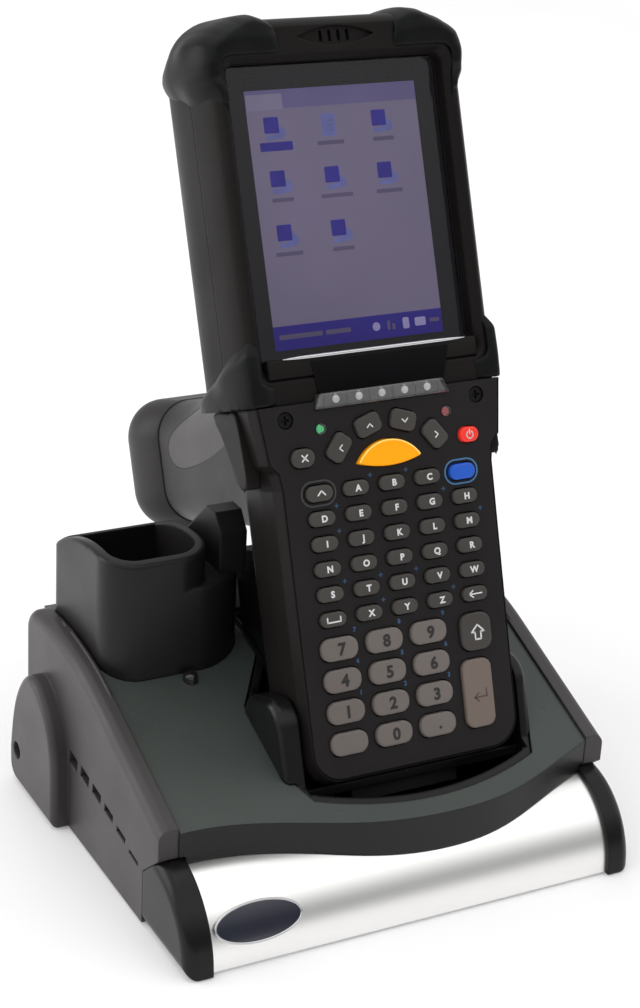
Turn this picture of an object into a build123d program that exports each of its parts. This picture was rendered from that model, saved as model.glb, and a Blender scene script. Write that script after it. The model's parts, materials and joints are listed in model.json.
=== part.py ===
"""Gun-type portable data terminal standing in its single desk charging cradle.

Cradle coordinates: X to the right from the cradle's middle, Y back from the front of the curved bar,
Z up from the table.  Terminal coordinates: u to the right, v up along the display, w out of the display,
from the middle of the display's lower edge.  Keypad coordinates: u to the right, s up along the keypad and
h out of it, from the seam under the display, at the height of the key tops.
Everything is moved at the end so that the origin lies under the middle of the whole set, on the table.
"""
from build123d import *
import math
import os

# ---------------------------------------------------------------- driving dimensions, millimetres and degrees

# cradle body
half_width = 76.4            # middle to the outer face of a side panel
panel_thickness = 6.4
panel_skin = 3.0
back_y = 128.0               # rear face of the cradle
floor_gap = 1.0              # the tray hangs this far above the table, on the feet
sheet = 2.4                  # wall of the moulded covers
seam = 0.15                  # moulding gap between covers
cover_half = half_width - panel_thickness - seam
corner_round = 8.0

# top surface of the cradle, seen from the side
slope_start = (20.5, 37.7)   # (y, z) of the front edge
slope_end_y = 69.8
slope_angle = 20.5
crown_radius = 106.0
cover_step = 1.0             # the panels' edges stand proud of the cover
cover_skirt_z = 22.0         # lower edge of the cover's side and rear skirts
panel_nose_z = 28.2          # underside of a panel's nose, over the end cap
panel_nose_fall = 9.2        # the nose's underside falls this far back to the cap's rear
panel_edge_round = 3.4

# wavy front lip, as (x, y) points in plan between its two ends
lip_left_y = 19.8
lip_right_y = 20.6
lip_points = [(-40, 16.2), (-14, 9.8), (12, 7.2), (36, 9.2), (56, 15.6)]

# curved front bar
cap_width = 8.4              # end cap, out to the side panel's outer face
cap_round = 4.0
bar_half_length = half_width - cap_width
bar_radius = 25.4
bar_axis_z = 0.9
bar_wall = 1.8
bar_end_angle = 76.0         # where the bar ends under the cover, from the horizontal
cap_step = 1.4               # the end caps stand proud of the bar
cap_back_y = 31.0
badge_angle = 152.0
badge_size = (27.6, 11.6)
badge_thickness = 1.0
badge_inset = 15.5           # from the bar's left end

# rear pods on the side panels, with the cable-lock hole
pod_depth = 5.6
pod_front_y = 89.5
pod_back_y = 127.8
pod_straight_z = (17.0, 12.0)        # the arch springs from these heights, front and rear
pod_arch = [(91.6, 30.2), (95.2, 36.6), (101.0, 41.8), (107.5, 44.6), (112.0, 44.4), (118.0, 39.8),
            (124.6, 27.5)]
pod_heel_round = 6.0
pod_rim_round = 2.2
lock_hole_radius = 3.0
lock_hole_place = (120.6, 13.0)

# vents in the side panels
vent_count = 6
vent_first = (86.0, 26.4)
vent_last = (38.0, 19.4)
vent_length = 6.6
vent_heights = (4.6, 1.5)    # first and last

# terminal in the dock
dock_x = 11.9
display_y = 77.6
display_z = 157.0
tilt = 21.75                 # lean back from upright

# display head
display_size = (57.6, 76.8)
window_margin = 7.2
head_rim = 7.5               # window to the head's sides
head_brow = 14.4             # window to the head's top end
head_half_width = display_size[0] / 2 + window_margin + head_rim
head_top_v = display_size[1] + window_margin + head_brow
head_bottom_v = -16.0
head_corner = 15.0
head_stations = [(-32.0, 10.0), (-29.0, 5.0), (-22.0, 1.0), (-12.0, 0.0), (-2.0, 0.6), (5.0, 2.0), (8.0, 4.4)]
head_split_w = -6.0
head_wall = 2.4
boot_swell = 2.4             # rubber standing proud of the head's sides
boot_lift = 1.3              # and of its front and back
boot_reach = (18.5, 5.0)     # inner edge of a top boot, and how far it leans out to the top
boot_drop = (11.5, 18.0)     # a top boot ends this far below the window's top, outside and inside
boot_inset = (4.0, 6.0)
foot_boot_inset = (9.5, 3.5)         # bottom boot: from the head's side, at its inner and outer corner
foot_boot_rise = (9.0, 21.0, 23.0)   # its upper edge above the head's lower edge, from inside to outside
window_thickness = 1.8
window_seat = 2.0
window_fit = 0.2
panel_margin = 3.6           # display module beyond its active area
panel_depth = 5.0
board_thickness = 1.6
main_board_w = -12.0
main_board_inset = (8.5, 5.0, 32.4)  # from the head's side, lower edge and top end
main_chips = [(-18, 12, 16), (14, 18, 20), (-16, 44, 14), (16, 48, 12)]     # (u, v, size)
main_chip_height = 2.2
main_posts = [(-24, 2), (-24, 58), (24, 2), (24, 58)]
main_post_radius = 2.4
display_cable = (24.0, 12.0, 5.4)    # width, length and depth of the fold
display_cable_v = 2.0
speaker_v = display_size[1] + window_margin + 6.8
speaker_half = (13.0, 2.8)
speaker_sink = 1.2
speaker_slots = (-4.5, -1.5, 1.5, 4.5)
speaker_slot_size = (3.4, 1.1)
loudspeaker_half = (10.0, 2.6)
loudspeaker_w = (0.6, 5.3)
scan_mouth = (34.0, -27.0, -12.0)    # width, lower and upper w
scan_window_v = (4.6, 2.6)           # below the head's top end
engine_v = (28.4, 10.4)              # below the head's top end
engine_half_width = 14.0
engine_height = 13.0
engine_lens_radius = 3.4
engine_bevel = 3.0

# keypad half
keypad_tilt = 1.83
hinge_w = 10.8               # height of the key tops at the seam
housing_depth = 34.0
housing_foot_s = -115.0
housing_outline = [(43.2, 3.0), (40.8, -17.0), (38.2, -19.8), (37.4, -25.0), (36.8, housing_foot_s)]
housing_foot_round = 9.0
housing_wall = 2.2
key_stand = 1.3              # key tops above the keypad frame
frame_thickness = 2.2
frame_rim = 1.6
key_height = 6.2
key_travel = 1.0
key_gap = 0.35
key_round = 0.5
key_board_h = -7.7           # front face of the keypad board
key_board_legs = [(-24, -30), (-24, -92), (24, -30), (24, -92)]
key_board_leg_radius = 2.0
housing_layers = [(0.0, 7.0), (3.0, 3.0), (9.0, 0.6), (20.0, 0.0), (28.0, 0.2)]  # (above the back, inset)
housing_front_inset = 1.5

letter_pitch = (12.25, 7.56)
letter_first_s = -26.98
letter_rows = 6
letter_size = (8.6, 4.4)
digit_pitch = (15.28, 9.54)
digit_first = (-8.22, -73.79)
digit_rows = 4
digit_size = (12.3, 6.9)
digit_round = 3.1
shift_place = (23.5, -76.4)
shift_size = (10.6, 11.6)
enter_place = (22.3, -95.4)
enter_size = (10.2, 21.2)
function_size = (8.8, 4.8)
escape_place = (-28.6, -16.0)
escape_size = (7.6, 5.6)
power_place = (28.2, -16.1)
power_size = (6.4, 4.6)
scan_chord = (21.2, -20.0)   # width and s of the half-moon's corners
scan_rise = 6.0
scan_sag = 1.8
nav_places = [(-16.4, -14.4, 52.0), (-6.0, -8.9, 18.0), (6.0, -8.9, -18.0), (16.4, -14.4, -52.0)]
nav_size = (8.6, 6.0)
light_bar = (45.8, 41.8, -2.4, 2.1)  # lower width, upper width, lower and upper edge
indicator_place = (21.4, -8.2)
indicator_radius = 1.6
keypad_screw_place = (32.6, -4.4)
keypad_screw_radius = 2.2

# grip and battery
grip_sections = [(-23.0, 42.0, 54.0, -33.0), (-56.0, 39.0, 50.2, -33.1), (-96.0, 36.5, 43.0, -34.5),
                 (-122.0, 37.5, 43.0, -34.5)]     # (w, width, height, middle v)
grip_corner = 13.0
battery_sections = [(-122.4, 38.0, 43.5, -34.5), (-130.0, 45.5, 45.0, -34.5), (-139.0, 46.5, 45.0, -34.5),
                    (-146.0, 36.0, 34.0, -34.5)]
battery_block = (28.0, 32.0)
battery_top_w = -81.0
battery_gap = 0.35
cheek_thickness = 1.4
cheek_u = 9.5                # panels stay this far from the grip's middle
cheek_root_w = -50.0
cheek_edge = [(-8.5, -62.0), (-9.4, -75.0), (-12.6, -87.6), (-18.4, -100.5), (-25.0, -112.6),
              (-29.6, -115.3), (-33.4, -113.0), (-35.6, -106.0), (-35.2, -98.0), (-32.9, -83.1),
              (-29.7, -70.7), (-25.5, -58.0)]
trigger_width = 12.0
trigger_gap = 0.4
trigger_pivot = (-14.0, -41.0)       # (v, w)
trigger_pin_radius = 1.5
trigger_pin_length = 26.0
trigger_slot = (-26.0, -78.0, -35.0) # floor v, rear w, front w
trigger_face = [(4.0, 3.0), (13.0, -7.0), (15.0, -18.0), (14.4, -26.0), (19.0, -35.0)]   # from the pivot
trigger_back = [(16.0, -36.5), (5.0, -33.0), (-5.0, -20.0), (-5.0, -2.0), (-2.0, 4.0)]
spring_wire = 0.45
spring_turns = 2.5
spring_gap = 0.1             # between turns
spring_room = 3.4            # half height of the spring's pocket
spring_pocket_u = -10.4      # outer wall of the pocket
pocket_margin = 0.3
pin_clearance = 0.05
release_size = (11.0, 8.0)
release_w = -108.0
release_travel = 1.2
release_length = 5.4
release_proud = 0.9

# docking cup
cup_half_width = 43.4
cup_front_y = 13.6
cup_corner_y = 20.8
cup_side_back_y = 58.0
cup_tower_half = 31.0
cup_tower_back_y = 100.0
cup_shoulder_y = 76.0
cup_floor_z = 9.0
cup_wall = 2.5
dock_gap = 0.6               # terminal to cup
tower_top_s = -45.5
tower_depth = 20.0
ear_top_s = -86.5
ear_bottom_s = -120.0
ear_rear_h = -30.0
ear_round = 9.0
ear_edge_round = 2.6
seat_thickness = 3.0
seat_front_h = -8.0
connector_size = (16.5, -25.0, -15.0)   # half width, rear and front h
rim_drop = 0.6               # the cup's rim lies this far below the cover
ear_thickness = (6.6, 4.4)   # left, right
ear_depth = 26.0
lean_room = 0.6              # the housing widens by this much above its foot
cup_leg = (24.0, 34.0, 16.0, 6.0)    # place beside the middle, front y, depth and width

# spare-battery bay
fit_gap = 0.3                # cover opening around the bay and the cup
bay_x = (-cover_half + fit_gap, dock_x - cup_tower_half - 1.5)
bay_y = (74.6, back_y - seam - sheet - fit_gap)
bay_floor_z = 18.0
bay_wall = 3.2
bay_back_wall = 10.0
bay_rounds = (11.0, 19.0, 8.0)      # front left, front right, rear corners
bay_crown_radius = 60.0
bay_crown_centre = (86.0, 36.3)     # (y, z) of the arc that shapes the rim
bay_width = 35.2                    # the raised collar around the well
bay_collar_round = 12.0
bay_shoulder_z = 85.0               # beside the collar
bay_rim_round = 1.4
bay_lug = [(81.4, 84.0), (81.4, 98.0), (86.0, 103.6), (92.0, 103.6), (108.0, 88.5), (111.0, 84.0)]
bay_lug_width = 9.0
bay_leg = (7.0, 20.0)
lens_radius = 2.3
lens_x = 25.7                       # from the bay's left face

# small parts
foot_radius = 7.0
foot_inset = (12.0, 14.0)
foot_recess = 1.4
screw_head_radius = 2.6
screw_head_height = 1.8
screw_shank_radius = 1.4
screw_length = 9.0
screw_sink = 1.2             # screw heads lie this deep in the tray's wells
screw_inset = 9.0            # from the cover's sides
screw_rows = (44.0, 96.0)
screw_middle = (-12.0, 112.0)
well_top_z = 9.0
well_radius = 4.4
boss_radius = 3.6
tray_sill = 3.0
board_inset = (9.85, 35.85)  # charging board, from the cover's left side
board_y = (52.0, 84.0)
board_z = 6.4
board_chips = [(8, 10, (9, 9)), (18, 14, (6, 10)), (10, 24, (12, 5))]   # from the board's corner
board_chip_height = 1.6
jack_size = (10.0, 9.0)
jack_bore_radius = 2.9
jack_bore_length = 10.0
jack_pin_radius = 0.9
data_size = (16.0, 8.0)
data_wall = 1.2
data_depth = 9.0
power_place_x = 40.0
data_place_x = 8.0
socket_z = 12.0
socket_depth = 13.0
contact_count = 9
contact_pitch = 3.2
contact_radius = (0.7, 1.0)  # spring pin, pad
leaf_places = (-9.0, -3.0, 3.0, 9.0)

far = 200.0                  # beyond every face, for cutting blocks

# ---------------------------------------------------------------- frames and helpers

terminal_frame = Pos(dock_x, display_y, display_z) * Rot(90 - tilt, 0, 0)
keypad_frame_place = terminal_frame * Pos(0, head_bottom_v, hinge_w) * Rot(keypad_tilt, 0, 0)
front_face_h = -key_stand
back_face_h = -housing_depth
base_top_z = floor_gap + sheet


def box(low, high):
    """Axis-aligned block between two corners."""
    size = [b - a for a, b in zip(low, high)]
    middle = [(a + b) / 2 for a, b in zip(low, high)]
    return Pos(*middle) * Box(*size)


def prism(face, low, high):
    """A face drawn at height 0, pulled up between two heights."""
    return Pos(0, 0, low) * extrude(face, high - low)


def side_prism(face, x_low, x_high):
    """A face drawn in (y, z), pulled along X between two stations."""
    return Pos(x_low, 0, 0) * extrude(Plane.YZ * face, x_high - x_low)


def tube_x(y, z, radius, x_low, x_high):
    """Round bar along X."""
    return Pos((x_low + x_high) / 2, y, z) * Rot(0, 90, 0) * Cylinder(radius, x_high - x_low)


def closed(points):
    return make_face(Polyline(*points, close=True))


def mirrored(shape):
    return mirror(shape, Plane.YZ)


def join(shapes):
    """Several separate solids kept as one group."""
    return Compound(children=[solid for shape in shapes for solid in shape.solids()])


def corner_rounded(face, radii):
    """Round the corners of a face: radii maps a corner point to its radius."""
    for (px, py), radius in radii:
        vertex = face.vertices().sort_by_distance((px, py, 0))[0]
        face = fillet(vertex, radius)
    return face


def crown_z(y):
    """Height of the cradle's top edge at y."""
    angle = math.radians(slope_angle)
    start_y, start_z = slope_start
    if y <= slope_end_y:
        return start_z + (y - start_y) * math.tan(angle)
    end_z = start_z + (slope_end_y - start_y) * math.tan(angle)
    middle_y = slope_end_y + crown_radius * math.sin(angle)
    middle_z = end_z - crown_radius * math.cos(angle)
    return middle_z + math.sqrt(crown_radius ** 2 - (y - middle_y) ** 2)


def crown_face(drop, front_y, rear_y, foot_z):
    """Side view of everything below the crown, lowered by drop."""
    middle = (slope_end_y + rear_y) / 2
    edge = [
        Line((front_y, foot_z), (front_y, crown_z(front_y) - drop)),
        Line((front_y, crown_z(front_y) - drop), (slope_end_y, crown_z(slope_end_y) - drop)),
        ThreePointArc((slope_end_y, crown_z(slope_end_y) - drop), (middle, crown_z(middle) - drop),
                      (rear_y, crown_z(rear_y) - drop)),
        Line((rear_y, crown_z(rear_y) - drop), (rear_y, foot_z)),
        Line((rear_y, foot_z), (front_y, foot_z)),
    ]
    return make_face(edge)


# ---------------------------------------------------------------- cradle


def cover_plan(inset=0.0):
    """Plan view of the cover, with its wavy lip, moved in on every side."""
    half = cover_half - inset
    start = (-half, lip_left_y + inset)
    end = (half, lip_right_y + inset)
    rear = back_y - seam - inset
    return make_face([
        Spline(start, *[(x, y + inset) for x, y in lip_points], end),
        Line(end, (half, rear)),
        Line((half, rear), (-half, rear)),
        Line((-half, rear), start),
    ])


def cup_plan(grow=0.0):
    """Plan view of the docking cup, symmetrical about the terminal."""
    corner = (cup_half_width - 5.5, cup_corner_y)
    side = cup_half_width
    tower = cup_tower_half
    right = [corner, (side, cup_corner_y + 12), (side, cup_side_back_y), (tower, cup_shoulder_y),
             (tower, cup_tower_back_y)]
    left = [(-x, y) for x, y in reversed(right)]
    face = make_face([
        ThreePointArc((-corner[0], corner[1]), (0, cup_front_y), corner),
        Polyline(*right, *left),
    ])
    if grow:
        face = offset(face, grow, kind=Kind.INTERSECTION)
    return Pos(dock_x, 0, 0) * face


def bay_plan(grow=0.0):
    """Plan view of the spare-battery bay."""
    x_left, x_right = bay_x
    return rounded_plan(x_left, x_right, bay_rounds, grow)


def collar_plan(grow=0.0):
    """Plan view of the raised collar around the bay's well."""
    front_left, _, rear = bay_rounds
    return rounded_plan(bay_x[0], bay_x[0] + bay_width, (front_left, bay_collar_round, rear), grow)


def rounded_plan(x_left, x_right, rounds, grow):
    """Plan over the bay's depth; rounds are the front left, front right and rear corners."""
    y_front, y_rear = bay_y
    front_left, front_right, rear = rounds
    face = closed([(x_left, y_front), (x_right, y_front), (x_right, y_rear), (x_left, y_rear)])
    face = corner_rounded(face, [((x_left, y_front), front_left), ((x_right, y_front), front_right),
                                 ((x_left, y_rear), rear), ((x_right, y_rear), rear)])
    return offset(face, grow) if grow else face


def bar_core(grow):
    """Solid rod of the front bar's outer radius, over the cradle's whole width."""
    return tube_x(bar_radius, bar_axis_z, bar_radius + grow, -half_width, half_width)


def top_cover():
    top = crown_z(slope_end_y) + crown_radius
    outer_side = crown_face(cover_step, 0, back_y, 0)
    inner_side = crown_face(cover_step + sheet, 0, back_y, 0)
    outer = prism(cover_plan(), 0, top) & side_prism(outer_side, -half_width, half_width)
    inner = prism(cover_plan(sheet), 0, top) & side_prism(inner_side, -half_width, half_width)
    cover = outer - inner - bar_core(2 * seam)
    cover -= box((-half_width, 0, -1), (half_width, back_y, cover_skirt_z - 10))
    cover -= box((-half_width, bar_radius, -1), (half_width, back_y, cover_skirt_z))
    # room for the end caps
    cap_room = side_prism(cap_side(seam), bar_half_length - 2 * seam, half_width)
    cover -= cap_room + mirrored(cap_room)
    cover -= prism(cup_plan(fit_gap), 0, top)
    cover -= prism(bay_plan(fit_gap), 0, top)
    # bosses over the tray's screw wells
    for x, y in base_screw_places():
        ceiling = crown_z(y - boss_radius) - cover_step - sheet / 2
        cover += Pos(x, y, (well_top_z + ceiling) / 2) * Cylinder(boss_radius, ceiling - well_top_z)
        cover -= Pos(x, y, well_top_z) * Cylinder(screw_shank_radius + pin_clearance, screw_length + 2)
    return cover - bay_lens_rod(pin_clearance)


def base_tray():
    """Floor, rear wall and front strip, with posts for the board and the screws."""
    rear = back_y - seam
    shell = box((-cover_half, cap_back_y + 0.5, floor_gap), (cover_half, rear, cover_skirt_z))
    shell -= box((-cover_half + sheet, cap_back_y + 0.5 + sheet, base_top_z),
                 (cover_half - sheet, rear - sheet, cover_skirt_z + 1))
    shell -= box((-cover_half + sheet, cap_back_y, base_top_z + tray_sill),
                 (cover_half - sheet, cap_back_y + 2 * sheet, cover_skirt_z + 1))
    nose = box((-bar_half_length + 0.2, bar_wall + 0.6, floor_gap),
               (bar_half_length - 0.2, cap_back_y + 0.6, base_top_z))
    tray = shell + nose
    # sunk seats for the feet
    for x, y in foot_places():
        tray -= Pos(x, y, floor_gap + foot_recess / 2) * Cylinder(foot_radius + 0.1, foot_recess)
    # posts under the board
    x_low, x_high = board_x()
    for x in (x_low + 4, x_high - 4):
        for y in (board_y[0] + 4, board_y[1] - 4):
            tray += Pos(x, y, (base_top_z + board_z) / 2) * Cylinder(2.2, board_z - base_top_z)
    # screw wells, open from below
    head_room = screw_sink + screw_head_height
    for x, y in base_screw_places():
        tray += Pos(x, y, (base_top_z + well_top_z) / 2) * Cylinder(well_radius, well_top_z - base_top_z)
        tray -= Pos(x, y, floor_gap + head_room / 2) * Cylinder(screw_head_radius + seam, head_room)
        tray -= Pos(x, y, well_top_z / 2) * Cylinder(screw_shank_radius + pin_clearance, well_top_z + 1)
    # openings of the rear sockets
    for place, size in ((power_place_x, jack_size), (data_place_x, data_size)):
        tray -= box((place - size[0] / 2 - 0.2, rear - 4, socket_z - size[1] / 2 - 0.2),
                    (place + size[0] / 2 + 0.2, rear + 1, socket_z + size[1] / 2 + 0.2))
    return tray


def foot_places():
    x = cover_half - foot_inset[0]
    return [(sx * x, y) for sx in (-1, 1) for y in (foot_inset[1] + 2, back_y - foot_inset[1])]


def base_screw_places():
    x = cover_half - screw_inset
    front, rear = screw_rows
    return [(-x, front), (x, front), (x, rear), screw_middle]


def board_x():
    """Left and right edge of the charging board."""
    return [inset - cover_half for inset in board_inset]


def rubber_feet():
    height = foot_recess + floor_gap
    feet = []
    for x, y in foot_places():
        foot = Pos(x, y, height / 2) * Cylinder(foot_radius, height)
        feet.append(chamfer(foot.edges().sort_by(Axis.Z)[0], 0.4))
    return join(feet)


def screw(head_radius, head_height, shank_radius, length):
    """Pan head screw with a cross recess; head face at height 0, shank upwards."""
    body = Pos(0, 0, head_height / 2) * Cylinder(head_radius, head_height)
    body += Pos(0, 0, head_height + length / 2) * Cylinder(shank_radius, length)
    slot = Box(head_radius * 1.2, 0.7, 1.6)
    return body - slot - Rot(0, 0, 90) * slot


def cradle_screws():
    one = screw(screw_head_radius, screw_head_height, screw_shank_radius, screw_length)
    return join([Pos(x, y, floor_gap + screw_sink) * one for x, y in base_screw_places()])


def front_bar():
    ring = bar_core(0) - tube_x(bar_radius, bar_axis_z, bar_radius - bar_wall, -half_width, half_width)
    ring &= box((-bar_half_length, -1, bar_axis_z), (bar_half_length, 2 * bar_radius, 2 * bar_radius))
    end = math.radians(bar_end_angle)
    ray = (bar_radius + far * math.cos(end), bar_axis_z + far * math.sin(end))
    wedge = closed([(bar_radius, bar_axis_z), ray, (far, far), (far, bar_axis_z)])
    return ring - side_prism(wedge, -half_width, half_width) - prism(cup_plan(fit_gap), bar_axis_z + 5, far)


def cap_side(grow):
    """Side view of the room below the panel's nose, where an end cap sits."""
    front = -cap_step - 1
    low = floor_gap - 0.6
    start_y = slope_start[0]
    top = panel_nose_z + grow
    rear = cap_back_y + grow
    return closed([(front, low), (rear, low), (rear, top - panel_nose_fall), (start_y, top), (front, top)])


def bar_end_cap():
    """Right-hand end cap: the bar's outline, a little larger, closed and rounded outside."""
    disc = Pos(bar_radius, bar_axis_z, 0) * Circle(bar_radius + cap_step)
    cap = side_prism(disc & cap_side(-seam), bar_half_length, half_width)
    outer_edges = cap.faces().sort_by(Axis.X)[-1].edges().filter_by(lambda e: e.center().Y < slope_start[0])
    return fillet(outer_edges, min(cap_round, cap_width / 2))


def bar_end_caps():
    cap = bar_end_cap()
    return join([cap, mirrored(cap)])


def badge_plate():
    """Thin oval plate curved to the bar."""
    shell = bar_core(badge_thickness) - bar_core(0)
    oval = extrude(Ellipse(badge_size[0] / 2, badge_size[1] / 2), 2 * bar_radius)
    aim = Pos(badge_inset - bar_half_length, bar_radius, bar_axis_z) * Rot(badge_angle - 90, 0, 0)
    return shell & (aim * oval)


def side_panel():
    """Right-hand side panel: skin, rim, vents and the rear pod."""
    inner_x = half_width - panel_thickness
    start_y, start_z = slope_start
    middle = (slope_end_y + back_y) / 2
    rear_top = (back_y, crown_z(back_y))
    cap_y = cap_back_y + seam
    face = make_face([
        Line((start_y, start_z), (slope_end_y, crown_z(slope_end_y))),
        ThreePointArc((slope_end_y, crown_z(slope_end_y)), (middle, crown_z(middle)), rear_top),
        Polyline(rear_top, (back_y, floor_gap), (cap_y, floor_gap), (cap_y, panel_nose_z - panel_nose_fall),
                 (start_y, panel_nose_z), (start_y, start_z)),
    ])
    face = corner_rounded(face, [(rear_top, corner_round)])
    plate = side_prism(face, inner_x, half_width)
    rounded = plate.faces().sort_by(Axis.X)[-1].edges().filter_by(
        lambda e: e.center().Z > panel_nose_z + 1 and e.center().Y > start_y + 1)
    plate = fillet(rounded, panel_edge_round)
    plate -= side_prism(offset(face, -sheet), inner_x, half_width - panel_skin)
    plate += rear_pod()
    plate -= tube_x(lock_hole_place[0], lock_hole_place[1], lock_hole_radius, inner_x - 1,
                    half_width + pod_depth + 1)
    return plate - vents()


def rear_pod():
    """Arched block on the panel's skin, leaning to the rear."""
    front = (pod_front_y, pod_straight_z[0])
    rear = (pod_back_y, pod_straight_z[1])
    face = make_face([
        Line((pod_front_y, floor_gap), front),
        Spline(front, *pod_arch, rear),
        Polyline(rear, (pod_back_y, floor_gap), (pod_front_y, floor_gap)),
    ])
    face = corner_rounded(face, [((pod_back_y, floor_gap), pod_heel_round)])
    pod = side_prism(face, half_width - panel_skin, half_width + pod_depth)
    rim = pod.faces().sort_by(Axis.X)[-1].edges().filter_by(lambda e: e.center().Z > floor_gap + 0.5)
    return fillet(rim, pod_rim_round)


def vents():
    """Row of slots that taper towards the front."""
    slots = []
    lean = math.degrees(math.atan2(vent_first[1] - vent_last[1], vent_first[0] - vent_last[0]))
    for index in range(vent_count):
        share = index / (vent_count - 1)
        y = vent_first[0] + share * (vent_last[0] - vent_first[0])
        z = vent_first[1] + share * (vent_last[1] - vent_first[1]) + 1.6 * math.sin(math.pi * share)
        height = vent_heights[0] + share * (vent_heights[1] - vent_heights[0])
        slot = Pos(y, z, 0) * Rot(0, 0, lean) * Rectangle(vent_length, height)
        slots.append(side_prism(slot, half_width - panel_thickness - 1, half_width + 1))
    return join(slots)


def battery_bay():
    """Tub with a crowned collar around the well, and a lower shoulder with a lug beside the dock."""
    x_left, x_right = bay_x
    y_front, y_rear = bay_y
    collar_right = x_left + bay_width
    top = bay_crown_centre[1] + bay_crown_radius + 1
    foot_z = bay_floor_z - bay_wall
    crown = tube_x(bay_crown_centre[0], bay_crown_centre[1], bay_crown_radius, x_left - 1, x_right + 1)
    crown += box((x_left - 1, y_front - 1, 0), (x_right + 1, y_rear + 1, bay_crown_centre[1]))
    collar = prism(collar_plan(), foot_z, top) & crown
    rim = collar.faces().sort_by(Axis.Z)[-1].edges()
    collar = fillet(rim, bay_rim_round)
    shoulder = prism(bay_plan(), foot_z, bay_shoulder_z)
    shoulder = fillet(shoulder.faces().sort_by(Axis.Z)[-1].edges(), bay_rim_round)
    lug = side_prism(closed(bay_lug), x_right - bay_lug_width - 1, x_right - 1)
    tub = collar + shoulder + lug
    # the tub stands inside the tray's and the cover's side walls, and the shoulder is hollow
    inner_x = sheet + fit_gap - cover_half
    tub -= box((x_left - 1, y_front - 1, 0), (inner_x, y_rear + 1, cover_skirt_z + fit_gap))
    beside = box((collar_right, y_front, 0), (x_right, y_rear, bay_shoulder_z))
    tub -= prism(bay_plan(-sheet), 0, bay_shoulder_z - sheet) & beside
    back = box((x_left, y_rear - bay_back_wall, 0), (x_right, y_rear + 1, top))
    tub -= prism(collar_plan(-bay_wall), bay_floor_z, top) - back
    leg_width, leg_depth = bay_leg
    leg_y = (y_front + y_rear) / 2 + bay_wall
    leg_x = collar_right - 2 * leg_width
    return tub + box((leg_x, leg_y, base_top_z), (leg_x + leg_width, leg_y + leg_depth, foot_z + 1))


def bay_lens_rod(grow):
    """Indicator at the foot of the bay's front wall."""
    y = bay_y[0] - fit_gap - lens_radius - 0.5
    return Pos(bay_x[0] + lens_x, y, crown_z(y) - cover_step) * Cylinder(lens_radius + grow, 5)


def bay_lens():
    lens = bay_lens_rod(0)
    return fillet(lens.edges().sort_by(Axis.Z)[-1], 1.4)


def terminal_clearance(gap):
    """The space of the terminal's keypad half and of its way out, in keypad coordinates."""
    ceiling = 200
    front = hinge_w + 40
    rear = back_face_h - gap
    foot = housing_outline[-1][0] + lean_room + gap
    shoulder = housing_outline[0][0] + gap
    way = box((-foot, housing_foot_s - gap, rear), (foot, ceiling, front))
    return way + box((-shoulder, housing_outline[3][1], rear), (shoulder, ceiling, front))


def sky():
    """Everything above the cover, where the cup may reach beyond the cover's opening."""
    ground = side_prism(crown_face(cover_step - fit_gap, 0, back_y, 0), -half_width, half_width)
    return box((-half_width, 0, floor_gap), (half_width, back_y, far)) - ground


def connector_slot(grow):
    """The part of the dock connector that stands in the seat, in keypad coordinates."""
    seat_s = housing_foot_s - dock_gap
    half, rear, front = connector_size
    top_s = seat_s - 0.4 + 5 * grow
    return box((-half - grow, seat_s - seat_thickness, rear - grow), (half + grow, top_s, front + grow))


def docking_cup():
    """Tub in the cover's opening, with the seat, the rear tower and an ear at each side of the terminal."""
    plan = cup_plan(-seam)
    inside = prism(plan, cup_floor_z, far)
    tub = inside & side_prism(crown_face(cover_step + rim_drop, 0, back_y, 0), -half_width, half_width)
    tub -= prism(offset(plan, -cup_wall, kind=Kind.INTERSECTION), cup_floor_z + cup_wall, far)

    seat_s = housing_foot_s - dock_gap
    front_h = back_face_h - dock_gap
    rear_h = front_h - tower_depth
    deep_s = housing_foot_s - 40
    half = cup_tower_half - 1
    tower = box((-half, deep_s, rear_h), (half, tower_top_s, front_h))
    hollow = box((-half + cup_wall, deep_s, rear_h + cup_wall),
                 (half - cup_wall, tower_top_s - cup_wall, front_h - cup_wall))
    seat = box((-cup_half_width, seat_s - seat_thickness, rear_h + cup_wall),
               (cup_half_width, seat_s, seat_front_h))
    reach = inside + sky()
    place = keypad_frame_place
    cup = tub + ((place * (tower - hollow)) & reach) + ((place * seat) & inside)
    for sign, thick in ((-1, ear_thickness[0]), (1, ear_thickness[1])):
        inner = housing_outline[-1][0] + lean_room + dock_gap
        low_u, high_u = sorted((sign * inner, sign * (inner + thick)))
        ear = box((low_u, ear_bottom_s, ear_rear_h), (high_u, ear_top_s, ear_rear_h + ear_depth))
        ear = fillet(ear.edges().filter_by(Axis.X).group_by(Axis.Y)[-1], ear_round)
        ear = fillet(ear.faces().sort_by(Axis.X)[-1 if sign > 0 else 0].edges(), ear_edge_round)
        cup += (place * ear) & reach
    cup -= place * hollow
    cup -= place * terminal_clearance(dock_gap - 0.01)
    cup -= place * connector_slot(0.1)
    beside, front_y, depth, width = cup_leg
    for x in (dock_x - beside, dock_x + beside):
        cup += box((x - width / 2, front_y, base_top_z), (x + width / 2, front_y + depth, cup_floor_z + 1))
    return cup


def dock_connector():
    """Connector block that stands through the seat, with a flange under it."""
    seat_s = housing_foot_s - dock_gap
    half, rear, front = connector_size
    under = seat_s - seat_thickness
    flange = box((-half - 2, under - 5, rear - 2), (half + 2, under, front + 2))
    return keypad_frame_place * (connector_slot(0) + flange)


def contact_row(low_s, high_s, radius):
    """Round contacts side by side, along the keypad's length."""
    middle = (contact_count - 1) / 2
    rear, front = connector_size[1:]
    return [Pos((index - middle) * contact_pitch, (low_s + high_s) / 2, (rear + front) / 2) * Rot(90, 0, 0)
            * Cylinder(radius, high_s - low_s) for index in range(contact_count)]


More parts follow.
